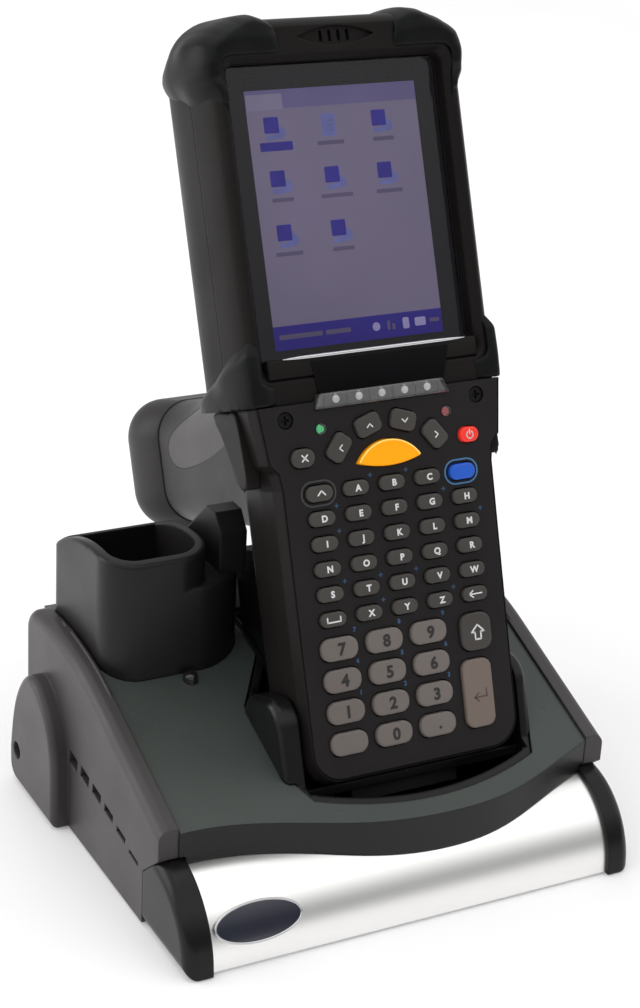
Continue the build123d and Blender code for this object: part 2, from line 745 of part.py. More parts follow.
def charging_contacts():
    """Spring pins of the dock, and the leaf contacts on the bay's floor."""
    pins = contact_row(housing_foot_s - dock_gap - 0.4, housing_foot_s - 0.3, contact_radius[0])
    leaves = []
    middle_x = bay_x[0] + bay_width / 2
    for step in leaf_places:
        leaves.append(box((middle_x + step - 1, bay_y[0] + 12, bay_floor_z),
                          (middle_x + step + 1, bay_y[0] + 20, bay_floor_z + 3)))
    return join([keypad_frame_place * pin for pin in pins] + leaves)


def cradle_board():
    x_low, x_high = board_x()
    top = board_z + board_thickness
    board = box((x_low, board_y[0], board_z), (x_high, board_y[1], top))
    for x, y, (width, depth) in board_chips:
        chip = Box(width, depth, board_chip_height)
        board += Pos(x_low + x, board_y[0] + y, top + board_chip_height / 2) * chip
    return board


def socket_block(place_x, size, depth):
    """Block behind the rear wall, centred on a socket."""
    rear = back_y - seam
    return box((place_x - size[0] / 2, rear - depth, socket_z - size[1] / 2),
               (place_x + size[0] / 2, rear, socket_z + size[1] / 2))


def rear_sockets():
    """Round power jack and flat data socket, mouths in the rear wall."""
    rear = back_y - seam
    plug_room = Cylinder(jack_bore_radius, jack_bore_length) - Cylinder(jack_pin_radius, jack_bore_length)
    jack = socket_block(power_place_x, jack_size, socket_depth)
    jack -= Pos(power_place_x, rear - jack_bore_length / 2, socket_z) * Rot(90, 0, 0) * plug_room
    mouth = [size - 2 * data_wall for size in data_size]
    data = socket_block(data_place_x, data_size, socket_depth) - socket_block(data_place_x, mouth, data_depth)
    low_y = rear - socket_depth
    under = socket_z - data_size[1] / 2
    blocks = []
    for block, place in ((jack, power_place_x), (data, data_place_x)):
        post = box((place - 3, low_y, base_top_z), (place + 3, low_y + 5, under))
        blocks.append(block + post)
    return join(blocks)


# ---------------------------------------------------------------- terminal: display head


def head_body(swell=0.0, lift=0.0, shrink=0.0):
    """The head's rounded block; swell grows it sideways, lift front and back, shrink makes the inside."""
    profiles = []
    last = len(head_stations) - 1
    low_v = head_bottom_v - 2 * head_corner
    for index, (w, inset) in enumerate(head_stations):
        inset = inset - swell + shrink
        end = {0: -1, last: 1}.get(index, 0)
        w = w + end * (lift - shrink)
        width = 2 * (head_half_width - inset)
        height = head_top_v - inset - low_v
        profiles.append(Pos(0, low_v + height / 2, w) * RectangleRounded(width, height, head_corner))
    body = loft(profiles)
    return body - box((-far, low_v - far, -far), (far, head_bottom_v + shrink, far))


def window_size():
    return [size + 2 * window_margin for size in display_size]


def window_face(grow):
    width, height = window_size()
    return Pos(0, display_size[1] / 2, 0) * RectangleRounded(width + 2 * grow, height + 2 * grow, 3.0)


def light_bar_face(grow):
    low_width, high_width, low_s, high_s = light_bar
    return offset(closed([(-low_width / 2, low_s), (low_width / 2, low_s), (high_width / 2, high_s),
                          (-high_width / 2, high_s)]), grow, kind=Kind.INTERSECTION)


def light_bar_notch():
    """Notch in the chin for the light bar, in terminal coordinates."""
    notch = prism(light_bar_face(0.25), -9, 20)
    return Pos(0, head_bottom_v, hinge_w) * Rot(keypad_tilt, 0, 0) * notch


def head_bezel():
    """Front half of the head, with the sunk display opening."""
    front = head_body() & box((-far, -far, head_split_w), (far, far, far))
    front -= head_body(shrink=head_wall) & box((-far, head_bottom_v + head_wall, -far), (far, far, 5.4))
    width, height = window_size()
    collar = Pos(0, display_size[1] / 2, 0) * RectangleRounded(width + 5, height + 5, 4.0)
    front += prism(collar, -3, 5.6) & head_body()
    front -= prism(window_face(window_fit), 0, 30)
    rim = head_stations[-1][0]
    funnel = loft([Pos(0, 0, rim - 2.2) * window_face(window_fit), Pos(0, 0, rim + 0.1) * window_face(2.0)])
    front -= funnel
    front -= prism(window_face(-window_seat), -20, 30)
    front -= prism(Pos(0, speaker_v, 0) * speaker_face(), rim - speaker_sink, 30)
    for step in speaker_slots:
        front -= prism(Pos(step, speaker_v, 0) * SlotOverall(*speaker_slot_size, rotation=90), 0, 30)
    front -= light_bar_notch()
    return front


def speaker_face():
    u, v = speaker_half
    return make_face([ThreePointArc((-u, 0), (0, v), (u, 0)), ThreePointArc((u, 0), (0, -v), (-u, 0))])


def head_housing():
    """Rear half of the head, hollow, with the scanner's mouth in its top end."""
    rear = head_body() & box((-far, -far, -far), (far, far, head_split_w))
    rear -= head_body(shrink=head_wall) & box((-far, head_bottom_v + head_wall, -far), (far, far, far))
    rear -= box((-scan_mouth[0] / 2, 70, scan_mouth[1]), (scan_mouth[0] / 2, far, scan_mouth[2]))
    return rear


def scan_window():
    width, low_w, high_w = scan_mouth
    return box((seam - width / 2, head_top_v - scan_window_v[0], low_w + seam),
               (width / 2 - seam, head_top_v - scan_window_v[1], high_w - seam))


def scan_engine():
    """Scanner block on the floor of the head, with its lens behind the scan window."""
    low_v, high_v = [head_top_v - v for v in engine_v]
    low_w = scan_mouth[1]
    high_w = low_w + engine_height
    half = engine_half_width
    bevel = engine_bevel
    body = box((-half, low_v, low_w), (half, high_v, high_w))
    body -= box((bevel - half, high_v - 2 * bevel, low_w + 2), (half - bevel, high_v + 1, high_w - 2))
    floor_w = head_stations[0][0] + head_wall
    body += box((-half / 2, low_v + bevel, floor_w), (half / 2, high_v - bevel, low_w))
    lens = Rot(90, 0, 0) * Cylinder(engine_lens_radius, 2 * bevel)
    return body + Pos(0, high_v - bevel - 1, (low_w + high_w) / 2) * lens


def corner_boots():
    """Rubber boots over the four corners of the head."""
    swollen = head_body(boot_swell, boot_lift) - box((-far, -far, -far), (far, head_bottom_v + 0.1, far))
    swollen -= head_body()
    opening = prism(window_face(2.4), 0, 30)
    window_top = display_size[1] + window_margin
    above = head_top_v + 25
    outside = head_half_width + 25
    inner_u, lean = boot_reach
    outer_drop, inner_drop = boot_drop
    outer_u, corner_u = [head_half_width - inset for inset in boot_inset]
    top_right = closed([(inner_u, window_top), (inner_u + lean, above), (outside, above),
                        (outside, window_top - outer_drop), (outer_u, window_top - outer_drop),
                        (corner_u, window_top - inner_drop)])
    low = head_bottom_v - 24
    inner_u, outer_u = [head_half_width - inset for inset in foot_boot_inset]
    inner_v, outer_v, side_v = [head_bottom_v + rise for rise in foot_boot_rise]
    bottom_right = closed([(inner_u, low), (inner_u, inner_v), (outer_u, outer_v), (outside, side_v),
                           (outside, low)])
    boots = []
    for face in (top_right, bottom_right):
        boot = (swollen & prism(face, -60, 60)) - opening
        boots += [boot, mirrored(boot)]
    return join(boots)


def touch_window():
    return prism(window_face(0), 0, window_thickness)


def display_module():
    width = display_size[0] + 2 * panel_margin
    height = display_size[1] + 2 * panel_margin
    face = Pos(0, display_size[1] / 2, 0) * RectangleRounded(width, height, 1.0)
    module = prism(face, -panel_depth, 0)
    cable_width, cable_length, fold = display_cable
    cable = box((-cable_width / 2, display_cable_v - cable_length, -panel_depth - fold),
                (cable_width / 2, display_cable_v, -panel_depth))
    return module + cable


def main_board():
    """Board on four posts in the rear housing, its chips facing back."""
    side, low, high = main_board_inset
    rear_w = main_board_w - main_chip_height
    floor_w = head_stations[0][0] + head_wall
    board = box((side - head_half_width, head_bottom_v + low, main_board_w),
                (head_half_width - side, head_top_v - high, main_board_w + board_thickness))
    for u, v, size in main_chips:
        board += box((u - size / 2, v - size / 2, rear_w), (u + size / 2, v + size / 2, main_board_w))
    for u, v in main_posts:
        board += Pos(u, v, (main_board_w + floor_w) / 2) * Cylinder(main_post_radius, main_board_w - floor_w)
    return board


def loudspeaker():
    half_u, half_v = loudspeaker_half
    low_w, high_w = loudspeaker_w
    return box((-half_u, speaker_v - half_v, low_w), (half_u, speaker_v + half_v, high_w))


# ---------------------------------------------------------------- terminal: keypad half


def housing_face(grow=0.0):
    """Outline of the keypad half, symmetrical."""
    low_s = housing_foot_s
    right = [(u + grow, s) for u, s in housing_outline[:-1]]
    right.append((housing_outline[-1][0] + grow, low_s - grow))
    left = [(-u, s) for u, s in reversed(right)]
    face = closed(right + left)
    corner_u = housing_outline[-1][0] + grow
    return corner_rounded(face, [((corner_u, low_s - grow), housing_foot_round),
                                 ((-corner_u, low_s - grow), housing_foot_round)])


def above_seam():
    """Everything above the head's lower edge, in keypad coordinates."""
    return Rot(-keypad_tilt, 0, 0) * box((-far, -0.05, -far), (far, far, far))


def lower_housing():
    """Tub behind the keypad, rounded to the back and to the front rim."""
    profiles = [Pos(0, 0, back_face_h + rise) * housing_face(-inset) for rise, inset in housing_layers]
    profiles.append(Pos(0, 0, front_face_h - 0.2) * housing_face(-housing_front_inset))
    tub = loft(profiles, ruled=True)
    inner = prism(housing_face(-housing_wall - 0.6), back_face_h + 9, 9)
    inner += prism(housing_face(-housing_wall - 6.0), back_face_h + housing_wall, 9)
    tub -= inner
    tub -= prism(housing_face(-frame_rim - 0.1), front_face_h - frame_thickness - 0.6, 9)
    frame_seat_h = front_face_h - frame_thickness
    ledge = prism(housing_face(-frame_rim - 0.05), frame_seat_h - 5, frame_seat_h)
    ledge -= prism(housing_face(-frame_rim - 2.6), -20, 9)
    tub += ledge
    half, rear, front = connector_size
    tub -= box((-half - 0.1, housing_foot_s - 5, rear + 0.9), (half + 0.1, housing_foot_s + 12, front - 0.9))
    return tub - above_seam()


def keypad_holes():
    """Openings of the frame for keys, screws, lenses and the light bar."""
    cuts = [prism(key_face(name, key_gap), -20, 9) for name in key_faces()]
    cuts.append(prism(light_bar_face(0.15), -20, 9))
    for sign in (-1, 1):
        u, s = indicator_place
        cuts.append(Pos(sign * u, s, 0) * Cylinder(indicator_radius + pin_clearance, 20))
        u, s = keypad_screw_place
        cuts.append(Pos(sign * u, s, front_face_h) * Cylinder(keypad_screw_radius + 0.4, 2.6))
        cuts.append(Pos(sign * u, s, 0) * Cylinder(1.1, 30))
    return cuts


def keypad_frame():
    plate = prism(housing_face(-frame_rim - 0.15), front_face_h - frame_thickness, front_face_h)
    plate = chamfer(plate.faces().sort_by(Axis.Z)[-1].edges(), 0.5)
    for cut in keypad_holes():
        plate -= cut
    return plate - above_seam()


def key_faces():
    """Name of each key group and the outlines in it: each outline is (kind, u, s)."""
    faces = {
        "key_scan": [("scan", 0, 0)],
        "key_power": [("power", *power_place)],
        "key_escape": [("escape", *escape_place)],
        "key_control": [("function", -2 * letter_pitch[0], letter_first_s)],
        "key_function": [("function", 2 * letter_pitch[0], letter_first_s)],
        "key_shift": [("shift", *shift_place)],
        "key_enter": [("enter", *enter_place)],
    }
    for index in range(len(nav_places)):
        faces[f"key_nav_{index + 1}"] = [(f"nav{index}", 0, 0)]
    for row in range(letter_rows):
        columns = (-1, 0, 1) if row == 0 else (-2, -1, 0, 1, 2)
        s = letter_first_s - row * letter_pitch[1]
        faces[f"letter_row_{row + 1}"] = [("letter", column * letter_pitch[0], s) for column in columns]
    for row in range(digit_rows):
        s = digit_first[1] - row * digit_pitch[1]
        faces[f"number_row_{row + 1}"] = [("digit", digit_first[0] + column * digit_pitch[0], s)
                                          for column in (-1, 0, 1)]
    return faces


def outline(kind, grow):
    """Outline of one key, grown on every side."""
    def grown(size):
        return [value + 2 * grow for value in size]

    if kind == "scan":
        half = scan_chord[0] / 2 + 1.6 * grow
        s = scan_chord[1]
        return make_face([ThreePointArc((-half, s), (0, s + scan_rise + grow), (half, s)),
                          ThreePointArc((half, s), (0, s - scan_sag - grow), (-half, s))])
    if kind.startswith("nav"):
        u, s, turn = nav_places[int(kind[3:])]
        width, height = grown(nav_size)
        return Pos(u, s, 0) * Rot(0, 0, turn) * RectangleRounded(width, height, 1.8 + grow)
    if kind == "shift":
        return RectangleRounded(*grown(shift_size), 3.4 + grow)
    if kind == "enter":
        return RectangleRounded(*grown(enter_size), 3.0 + grow)
    if kind == "digit":
        return RectangleRounded(*grown(digit_size), digit_round + grow)
    sizes = {"power": power_size, "escape": escape_size, "function": function_size, "letter": letter_size}
    return SlotOverall(*grown(sizes[kind]))


def key_face(name, grow=0.0):
    return Sketch() + [Pos(u, s, 0) * outline(kind, grow) for kind, u, s in key_faces()[name]]


def key_group(name):
    caps = []
    for kind, u, s in key_faces()[name]:
        cap = prism(Pos(u, s, 0) * outline(kind, 0), -key_height, 0)
        caps.append(fillet(cap.faces().sort_by(Axis.Z)[-1].edges(), key_round))
    return join(caps)


def keypad_board():
    board = prism(housing_face(-frame_rim - 3.4), key_board_h - board_thickness, key_board_h)
    board -= above_seam()
    board -= box((-50, -8, -30), (50, 9, 9))
    low_h = back_face_h + housing_wall
    high_h = key_board_h - board_thickness
    for u, s in key_board_legs:
        board += Pos(u, s, (low_h + high_h) / 2) * Cylinder(key_board_leg_radius, high_h - low_h)
    return board


def keypad_lenses():
    """Clear light bar and the round lens at each side."""
    low_h = front_face_h - frame_thickness - 1.2
    bar = prism(light_bar_face(0), low_h, front_face_h + 1.4)
    bar = chamfer(bar.faces().sort_by(Axis.Z)[-1].edges(), 0.5)
    lenses = [bar]
    for sign in (-1, 1):
        lens = prism(Pos(sign * indicator_place[0], indicator_place[1], 0) * Circle(indicator_radius), low_h,
                     front_face_h + 0.7)
        lenses.append(fillet(lens.edges().sort_by(Axis.Z)[-1], 0.5))
    return join(lenses)


def terminal_screws():
    """The two screws in the keypad's shoulders."""
    screws = []
    for sign in (-1, 1):
        u, s = keypad_screw_place
        screws.append(Pos(sign * u, s, front_face_h - 0.5) * Rot(180, 0, 0)
                      * screw(keypad_screw_radius, 0.8, 1.0, 4.0))
    return join(screws)


def io_contacts():
    """Contact pads set in the foot of the terminal."""
    half, rear, front = connector_size
    carrier = box((-half, housing_foot_s + 0.4, rear + 1), (half, housing_foot_s + 5, front - 1))
    for pad in contact_row(housing_foot_s, housing_foot_s + 1, contact_radius[1]):
        carrier += pad
    return carrier


# ---------------------------------------------------------------- terminal: grip, trigger and battery


def lofted(sections, shrink=0.0):
    less = 2 * shrink
    return loft([Pos(0, v, w) * RectangleRounded(width - less, height - less, grip_corner - shrink)
                 for w, width, height, v in sections])


def battery_middle():
    return battery_sections[0][3]


def trigger_pin_tube(radius, length):
    v, w = trigger_pivot
    return tube_x(v, w, radius, -length / 2, length / 2)


def grip_solid():
    """Whole grip, less the housings that it is bolted to and the spaces inside."""
    body = lofted(grip_sections)
    body -= head_body()
    body -= keypad_in_terminal() * (prism(housing_face(0), back_face_h, 9))
    rear_w = grip_sections[-1][0]
    width, height = [size + 2 * battery_gap for size in battery_block]
    middle = battery_middle()
    body -= box((-width / 2, middle - height / 2, rear_w - 1),
                (width / 2, middle + height / 2, battery_top_w + 1))
    floor_v, slot_rear, slot_front = trigger_slot
    half = trigger_width / 2 + trigger_gap
    body -= box((-half, floor_v, slot_rear), (half, far, slot_front))
    pivot_v, pivot_w = trigger_pivot
    body -= box((spring_pocket_u, pivot_v - spring_room, pivot_w - spring_room),
                (-half + 0.1, pivot_v + spring_room, pivot_w + spring_room))
    body -= trigger_pin_tube(trigger_pin_radius, trigger_pin_length)
    body -= release_block(0.35, 8)
    return body


def keypad_in_terminal():
    return Pos(0, head_bottom_v, hinge_w) * Rot(keypad_tilt, 0, 0)


def release_block(grow, length):
    """Battery release button, through the grip's underside."""
    low_v = battery_middle() - grip_sections[-1][2] / 2 - release_proud
    half_u = release_size[0] / 2 + grow
    half_w = release_size[1] / 2 + grow
    block = box((-half_u, low_v, release_w - half_w), (half_u, low_v + length, release_w + half_w))
    return fillet(block.edges().filter_by(Axis.Y), 2.0)


def cheek_face():
    """Outline of a cheek panel, drawn in (v, w) as (y, z)."""
    first, last = cheek_edge[0], cheek_edge[-1]
    return make_face([
        Spline(*cheek_edge),
        Polyline(last, (last[0], cheek_root_w), (first[0], cheek_root_w), first),
    ])


def grip_cheeks():
    """Thin panels let into both sides of the grip's root."""
    outer = lofted(grip_sections)
    core = lofted(grip_sections, cheek_thickness)
    band = (outer - core) & side_prism(cheek_face(), cheek_u, 60)
    band -= head_body()
    return join([band, mirrored(band)])


def grip_half(sign):
    """One half of the grip, with the cheek's seat sunk into it."""
    side = box((0, -far, -far), (far, far, far))
    if sign < 0:
        side = mirrored(side)
    return (grip_solid() & side) - grip_cheeks()


def trigger():
    """Finger lever, hinged at its head end, with a curved face."""
    pivot_v, pivot_w = trigger_pivot
    face = [(pivot_v + v, pivot_w + w) for v, w in trigger_face]
    back = [(pivot_v + v, pivot_w + w) for v, w in trigger_back]
    blade = make_face([Spline(*face), Polyline(face[-1], *back, face[0])])
    lever = side_prism(blade, -trigger_width / 2, trigger_width / 2)
    return lever - trigger_pin_tube(trigger_pin_radius + pin_clearance, 2 * trigger_pin_length)


def trigger_spring():
    """Torsion spring wound round the pin beside the lever, its two legs against the pocket's wall."""
    v, w = trigger_pivot
    pitch = 2 * spring_wire + spring_gap
    start = -trigger_width / 2 - trigger_gap - spring_wire - pocket_margin
    coil = Helix(pitch, pitch * spring_turns, trigger_pin_radius + pin_clearance + spring_wire)
    spring = sweep(Plane(origin=coil @ 0, z_dir=coil % 0) * Circle(spring_wire), path=coil, is_frenet=True)
    for end, way in ((coil @ 0, -(coil % 0)), (coil @ 1, coil % 1)):
        spring += extrude(Plane(origin=end, z_dir=way) * Circle(spring_wire), spring_room - pin_clearance)
    return Pos(start, v, w) * Rot(0, -90, 0) * spring


def battery_pack():
    """Cells in a block that fills the grip, and the flared butt below it."""
    width, height = battery_block
    middle = battery_middle()
    front_w = battery_sections[0][0]
    block = box((-width / 2, middle - height / 2, front_w - 2),
                (width / 2, middle + height / 2, battery_top_w))
    block = fillet(block.edges().filter_by(Axis.Z), 3.0)
    pack = block + lofted(battery_sections)
    notch = box((-7, middle - height / 2 - 1, release_w - 6), (7, middle - height / 2 + 3, release_w + 6))
    return pack - notch


# ---------------------------------------------------------------- the whole set


def build():
    """Every node by name, in cradle coordinates."""
    panel = side_panel()
    nodes = {
        "cradle_base": base_tray(),
        "top_cover": top_cover(),
        "docking_cup": docking_cup(),
        "battery_bay": battery_bay(),
        "front_bar": front_bar(),
        "bar_end_caps": bar_end_caps(),
        "badge_plate": badge_plate(),
        "right_side_panel": panel,
        "left_side_panel": mirrored(panel),
        "rubber_feet": rubber_feet(),
        "cradle_screws": cradle_screws(),
        "cradle_board": cradle_board(),
        "dock_connector": dock_connector(),
        "charging_contacts": charging_contacts(),
        "bay_lens": bay_lens(),
        "rear_sockets": rear_sockets(),
    }
    in_terminal = {
        "head_housing": head_housing(),
        "head_bezel": head_bezel(),
        "corner_boots": corner_boots(),
        "touch_window": touch_window(),
        "display_module": display_module(),
        "main_board": main_board(),
        "scan_engine": scan_engine(),
        "scan_window": scan_window(),
        "loudspeaker": loudspeaker(),
        "grip_left": grip_half(-1),
        "grip_right": grip_half(1),
        "grip_cheeks": grip_cheeks(),
        "trigger": trigger(),
        "trigger_pin": trigger_pin_tube(trigger_pin_radius, trigger_pin_length),
        "trigger_spring": trigger_spring(),
        "battery_pack": battery_pack(),
        "battery_release": release_block(0, release_length),
    }
    in_keypad = {
        "lower_housing": lower_housing(),
        "keypad_frame": keypad_frame(),
        "keypad_board": keypad_board(),
        "keypad_lenses": keypad_lenses(),
        "terminal_screws": terminal_screws(),
        "io_contacts": io_contacts(),
    }
    for name in key_faces():
        in_keypad[name] = key_group(name)
    for name, shape in in_terminal.items():
        nodes[name] = terminal_frame * shape
    for name, shape in in_keypad.items():
        nodes[name] = keypad_frame_place * shape
    return nodes


def origin_shift(nodes):
    """Move that puts the origin under the middle of the set."""
    whole = Compound(children=[Compound(children=shape.solids()) for shape in nodes.values()]).bounding_box()
    middle = whole.center()
    return Pos(-middle.X, -middle.Y, -whole.min.Z)


def main():
    nodes = build()
    shift = origin_shift(nodes)
    os.makedirs("parts", exist_ok=True)
    for name, shape in nodes.items():
        export_step(join([shift * shape]), f"parts/{name}.step")


main()
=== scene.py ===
"""Looks of the portable data terminal in its cradle: camera, light, finishes and the fine visible pieces."""
import json
import math

import bmesh
import bpy
import numpy as np
from mathutils import Matrix, Vector


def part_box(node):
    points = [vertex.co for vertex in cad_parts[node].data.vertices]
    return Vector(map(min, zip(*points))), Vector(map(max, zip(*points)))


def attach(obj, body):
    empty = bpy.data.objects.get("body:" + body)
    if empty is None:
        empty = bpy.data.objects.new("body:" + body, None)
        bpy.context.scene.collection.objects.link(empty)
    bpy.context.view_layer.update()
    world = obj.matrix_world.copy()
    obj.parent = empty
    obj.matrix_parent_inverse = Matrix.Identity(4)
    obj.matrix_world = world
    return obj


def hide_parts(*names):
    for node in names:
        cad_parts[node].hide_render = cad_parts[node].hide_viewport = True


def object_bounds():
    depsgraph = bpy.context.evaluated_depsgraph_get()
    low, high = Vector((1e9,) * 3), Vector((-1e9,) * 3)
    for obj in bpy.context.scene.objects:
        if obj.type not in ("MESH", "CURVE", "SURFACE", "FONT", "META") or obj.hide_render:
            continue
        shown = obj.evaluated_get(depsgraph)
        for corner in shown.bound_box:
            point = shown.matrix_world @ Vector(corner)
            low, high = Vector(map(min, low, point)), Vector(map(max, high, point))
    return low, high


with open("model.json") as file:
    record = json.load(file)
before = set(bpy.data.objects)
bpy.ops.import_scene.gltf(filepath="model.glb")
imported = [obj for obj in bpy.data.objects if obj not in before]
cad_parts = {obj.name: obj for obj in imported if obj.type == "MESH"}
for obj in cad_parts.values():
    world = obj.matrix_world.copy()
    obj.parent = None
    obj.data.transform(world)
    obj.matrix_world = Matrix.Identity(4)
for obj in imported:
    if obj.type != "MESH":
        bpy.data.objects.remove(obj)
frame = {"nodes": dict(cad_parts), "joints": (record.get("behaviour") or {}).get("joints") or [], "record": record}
cad_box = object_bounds()
MM = 0.001

# ---------------------------------------------------------------- sizes, in millimetres

DISPLAY = (57.6, 76.8)
WINDOW_MARGIN = 7.2
BAR_RADIUS = 25.4
BADGE_SIZE = (27.6, 11.6)
BADGE_ANGLE = 152.0
SCAN_SAG = 1.8               # how far the scan key bulges below its corners
LEGEND_LIFT = 0.03           # printed marks stand this far above what carries them
RELIEF = 0.02                # half thickness of a printed mark

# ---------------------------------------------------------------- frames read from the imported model

joints = {joint["name"]: joint for joint in frame["joints"]}
ACROSS = Vector((1, 0, 0))


def points_of(node):
    """All vertices of a CAD node, in metres."""
    mesh = frame["nodes"][node].data
    co = np.empty(len(mesh.vertices) * 3)
    mesh.vertices.foreach_get("co", co)
    return co.reshape(-1, 3)


class Frame:
    """A right-handed frame on the terminal: u to the right, v up its length, w out of its face."""

    def __init__(self, origin, v, w):
        self.v = Vector(v).normalized()
        self.w = Vector(w).normalized()
        self.u = self.v.cross(self.w)
        self.origin = Vector(origin)

    def at(self, u, v, w):
        """A point given in millimetres."""
        return self.origin + (self.u * u + self.v * v + self.w * w) * MM

    def matrix(self, u=0.0, v=0.0, w=0.0):
        """Placement, in millimetres, of a shape whose X, Y, Z run along u, v, w."""
        place = Matrix((self.u, self.v, self.w)).transposed().to_4x4() @ Matrix.Scale(MM, 4)
        place.translation = self.at(u, v, w)
        return place

    def measure(self, points):
        """Points in this frame, in millimetres."""
        axes = np.array([self.u, self.v, self.w])
        return (points - np.array(self.origin)) @ axes.T / MM


def head_frame():
    """Frame with its origin in the middle of the display's lower edge, on the window's rear face."""
    face_out = -Vector(joints["battery_slide"]["axis"])
    up = face_out.cross(ACROSS)
    window = points_of("touch_window")
    rough = Frame(window.mean(0), up, face_out)
    spread = rough.measure(window)
    middle = (spread.max(0) + spread.min(0)) / 2
    origin = rough.at(middle[0], middle[1] - DISPLAY[1] / 2, spread[:, 2].min())
    return Frame(origin, up, face_out)


def pad_frame():
    """Keypad frame: s up the keypad from the seam under the display, height 0 at the key tops."""
    out = -Vector(joints["key_scan_press"]["axis"])
    up = out.cross(ACROSS)
    rough = Frame(head.at(0, 0, 0), up, out)
    board = rough.measure(points_of("keypad_frame"))
    keys = rough.measure(points_of("key_scan"))
    return Frame(rough.at(0, board[:, 1].max(), keys[:, 2].max()), up, out)


head = head_frame()
pad = pad_frame()

# ---------------------------------------------------------------- finishes


def add_node(tree, node_type, **settings):
    node = tree.nodes.new(node_type)
    for key, setting in settings.items():
        if key in node.inputs:
            node.inputs[key].default_value = setting
        else:
            setattr(node, key, setting)
    return node


def two_tones(tree, fac, dark, light):
    """Colour ramp between two tones, driven by a factor socket."""
    ramp = add_node(tree, "ShaderNodeValToRGB")
    for element, position, color in zip(ramp.color_ramp.elements, (0.3, 0.7), (dark, light)):
        element.position = position
        element.color = (*color, 1)
    tree.links.new(fac, ramp.inputs["Fac"])
    return ramp.outputs["Color"]


PLASTIC_IOR = 1.45
COAT_ROUGHNESS = 0.1
GRAIN_DEPTH = 0.05
DUST_COLOR = (0.32, 0.31, 0.30, 1)


def finish(name, color, roughness=0.5, metallic=0.0, specular=0.5, coat=0.0, grain=0.0, grain_size=0.35,
           edge=0.0, variation=0.06, blotch=18.0, rough_variation=0.08, stretch=(1, 1, 1), glow=0.0,
           transmission=0.0, dust=0.0, painted_front_shade=None):
    """Moulded or machined surface: cloudy colour, uneven gloss, a fine grain and slightly rounded edges."""
    material = bpy.data.materials.new(name)
    material.use_nodes = True
    tree = material.node_tree
    shader = tree.nodes["Principled BSDF"]
    link = tree.links.new
    coordinates = add_node(tree, "ShaderNodeTexCoord")
    mapping = add_node(tree, "ShaderNodeMapping")
    mapping.inputs["Scale"].default_value = stretch
    link(coordinates.outputs["Object"], mapping.inputs["Vector"])

    cloud = add_node(tree, "ShaderNodeTexNoise", Scale=blotch, Detail=4.0, Roughness=0.55)
    link(mapping.outputs["Vector"], cloud.inputs["Vector"])
    dark = [max(0.0, c * (1 - variation * 2)) for c in color]
    light = [min(1.0, c * (1 + variation * 2)) for c in color]
    base = two_tones(tree, cloud.outputs["Fac"], dark, light)
    if dust:
        # specks of dust and fine scuffs
        specks = add_node(tree, "ShaderNodeTexNoise", Scale=900.0, Detail=3.0, Roughness=0.8)
        link(mapping.outputs["Vector"], specks.inputs["Vector"])
        share = add_node(tree, "ShaderNodeMapRange", **{"From Min": 0.62, "From Max": 0.78, "To Max": dust})
        link(specks.outputs["Fac"], share.inputs["Value"])
        mix = add_node(tree, "ShaderNodeMix", data_type="RGBA")
        link(share.outputs["Result"], mix.inputs["Factor"])
        link(base, mix.inputs[6])
        mix.inputs[7].default_value = DUST_COLOR
        base = mix.outputs[2]
    if painted_front_shade:
        # painted shade: faces that look forwards get a darker colour than the sloping top, for the shade they lie
        # in
        normal_axes = add_node(tree, "ShaderNodeSeparateXYZ")
        link(add_node(tree, "ShaderNodeNewGeometry").outputs["Normal"], normal_axes.inputs["Vector"])
        forward = add_node(tree, "ShaderNodeMapRange", **{"From Min": -0.62, "From Max": -0.8})
        link(normal_axes.outputs["Y"], forward.inputs["Value"])
        front_shade_mix = add_node(tree, "ShaderNodeMix", data_type="RGBA")
        link(forward.outputs["Result"], front_shade_mix.inputs["Factor"])
        link(base, front_shade_mix.inputs[6])
        front_shade_mix.inputs[7].default_value = (*painted_front_shade, 1)
        base = front_shade_mix.outputs[2]
    link(base, shader.inputs["Base Color"])

    gloss = add_node(tree, "ShaderNodeTexNoise", Scale=blotch * 2.3, Detail=5.0)
    link(mapping.outputs["Vector"], gloss.inputs["Vector"])
    gloss_range = add_node(tree, "ShaderNodeMapRange", **{
        "From Min": 0.25, "From Max": 0.75,
        "To Min": max(0.02, roughness - rough_variation), "To Max": min(1.0, roughness + rough_variation)})
    link(gloss.outputs["Fac"], gloss_range.inputs["Value"])
    link(gloss_range.outputs["Result"], shader.inputs["Roughness"])

    normal = None
    if edge:
        rounding = add_node(tree, "ShaderNodeBevel", Radius=edge * MM)
        rounding.samples = 4
        normal = rounding.outputs["Normal"]
    if grain:
        texture = add_node(tree, "ShaderNodeTexNoise", Scale=1 / (grain_size * MM), Detail=2.0)
        link(mapping.outputs["Vector"], texture.inputs["Vector"])
        bump = add_node(tree, "ShaderNodeBump", Strength=grain, Distance=GRAIN_DEPTH * MM)
        link(texture.outputs["Fac"], bump.inputs["Height"])
        if normal:
            link(normal, bump.inputs["Normal"])
        normal = bump.outputs["Normal"]
    if normal:
        link(normal, shader.inputs["Normal"])

    # glow: the surface gives off light; a lamp or the lit screen, elsewhere painted light
    if glow:
        link(base, shader.inputs["Emission Color"])
        shader.inputs["Emission Strength"].default_value = glow
    shader.inputs["Metallic"].default_value = metallic
    shader.inputs["Specular IOR Level"].default_value = specular
    shader.inputs["Coat Weight"].default_value = coat
    shader.inputs["Coat Roughness"].default_value = COAT_ROUGHNESS
    shader.inputs["Transmission Weight"].default_value = transmission
    shader.inputs["IOR"].default_value = PLASTIC_IOR
    return material


def srgb(r, g, b):
    """Linear colour from 0 to 255 screen values."""
    return [((c / 255 + 0.055) / 1.055) ** 2.4 if c > 10 else c / 255 / 12.92 for c in (r, g, b)]


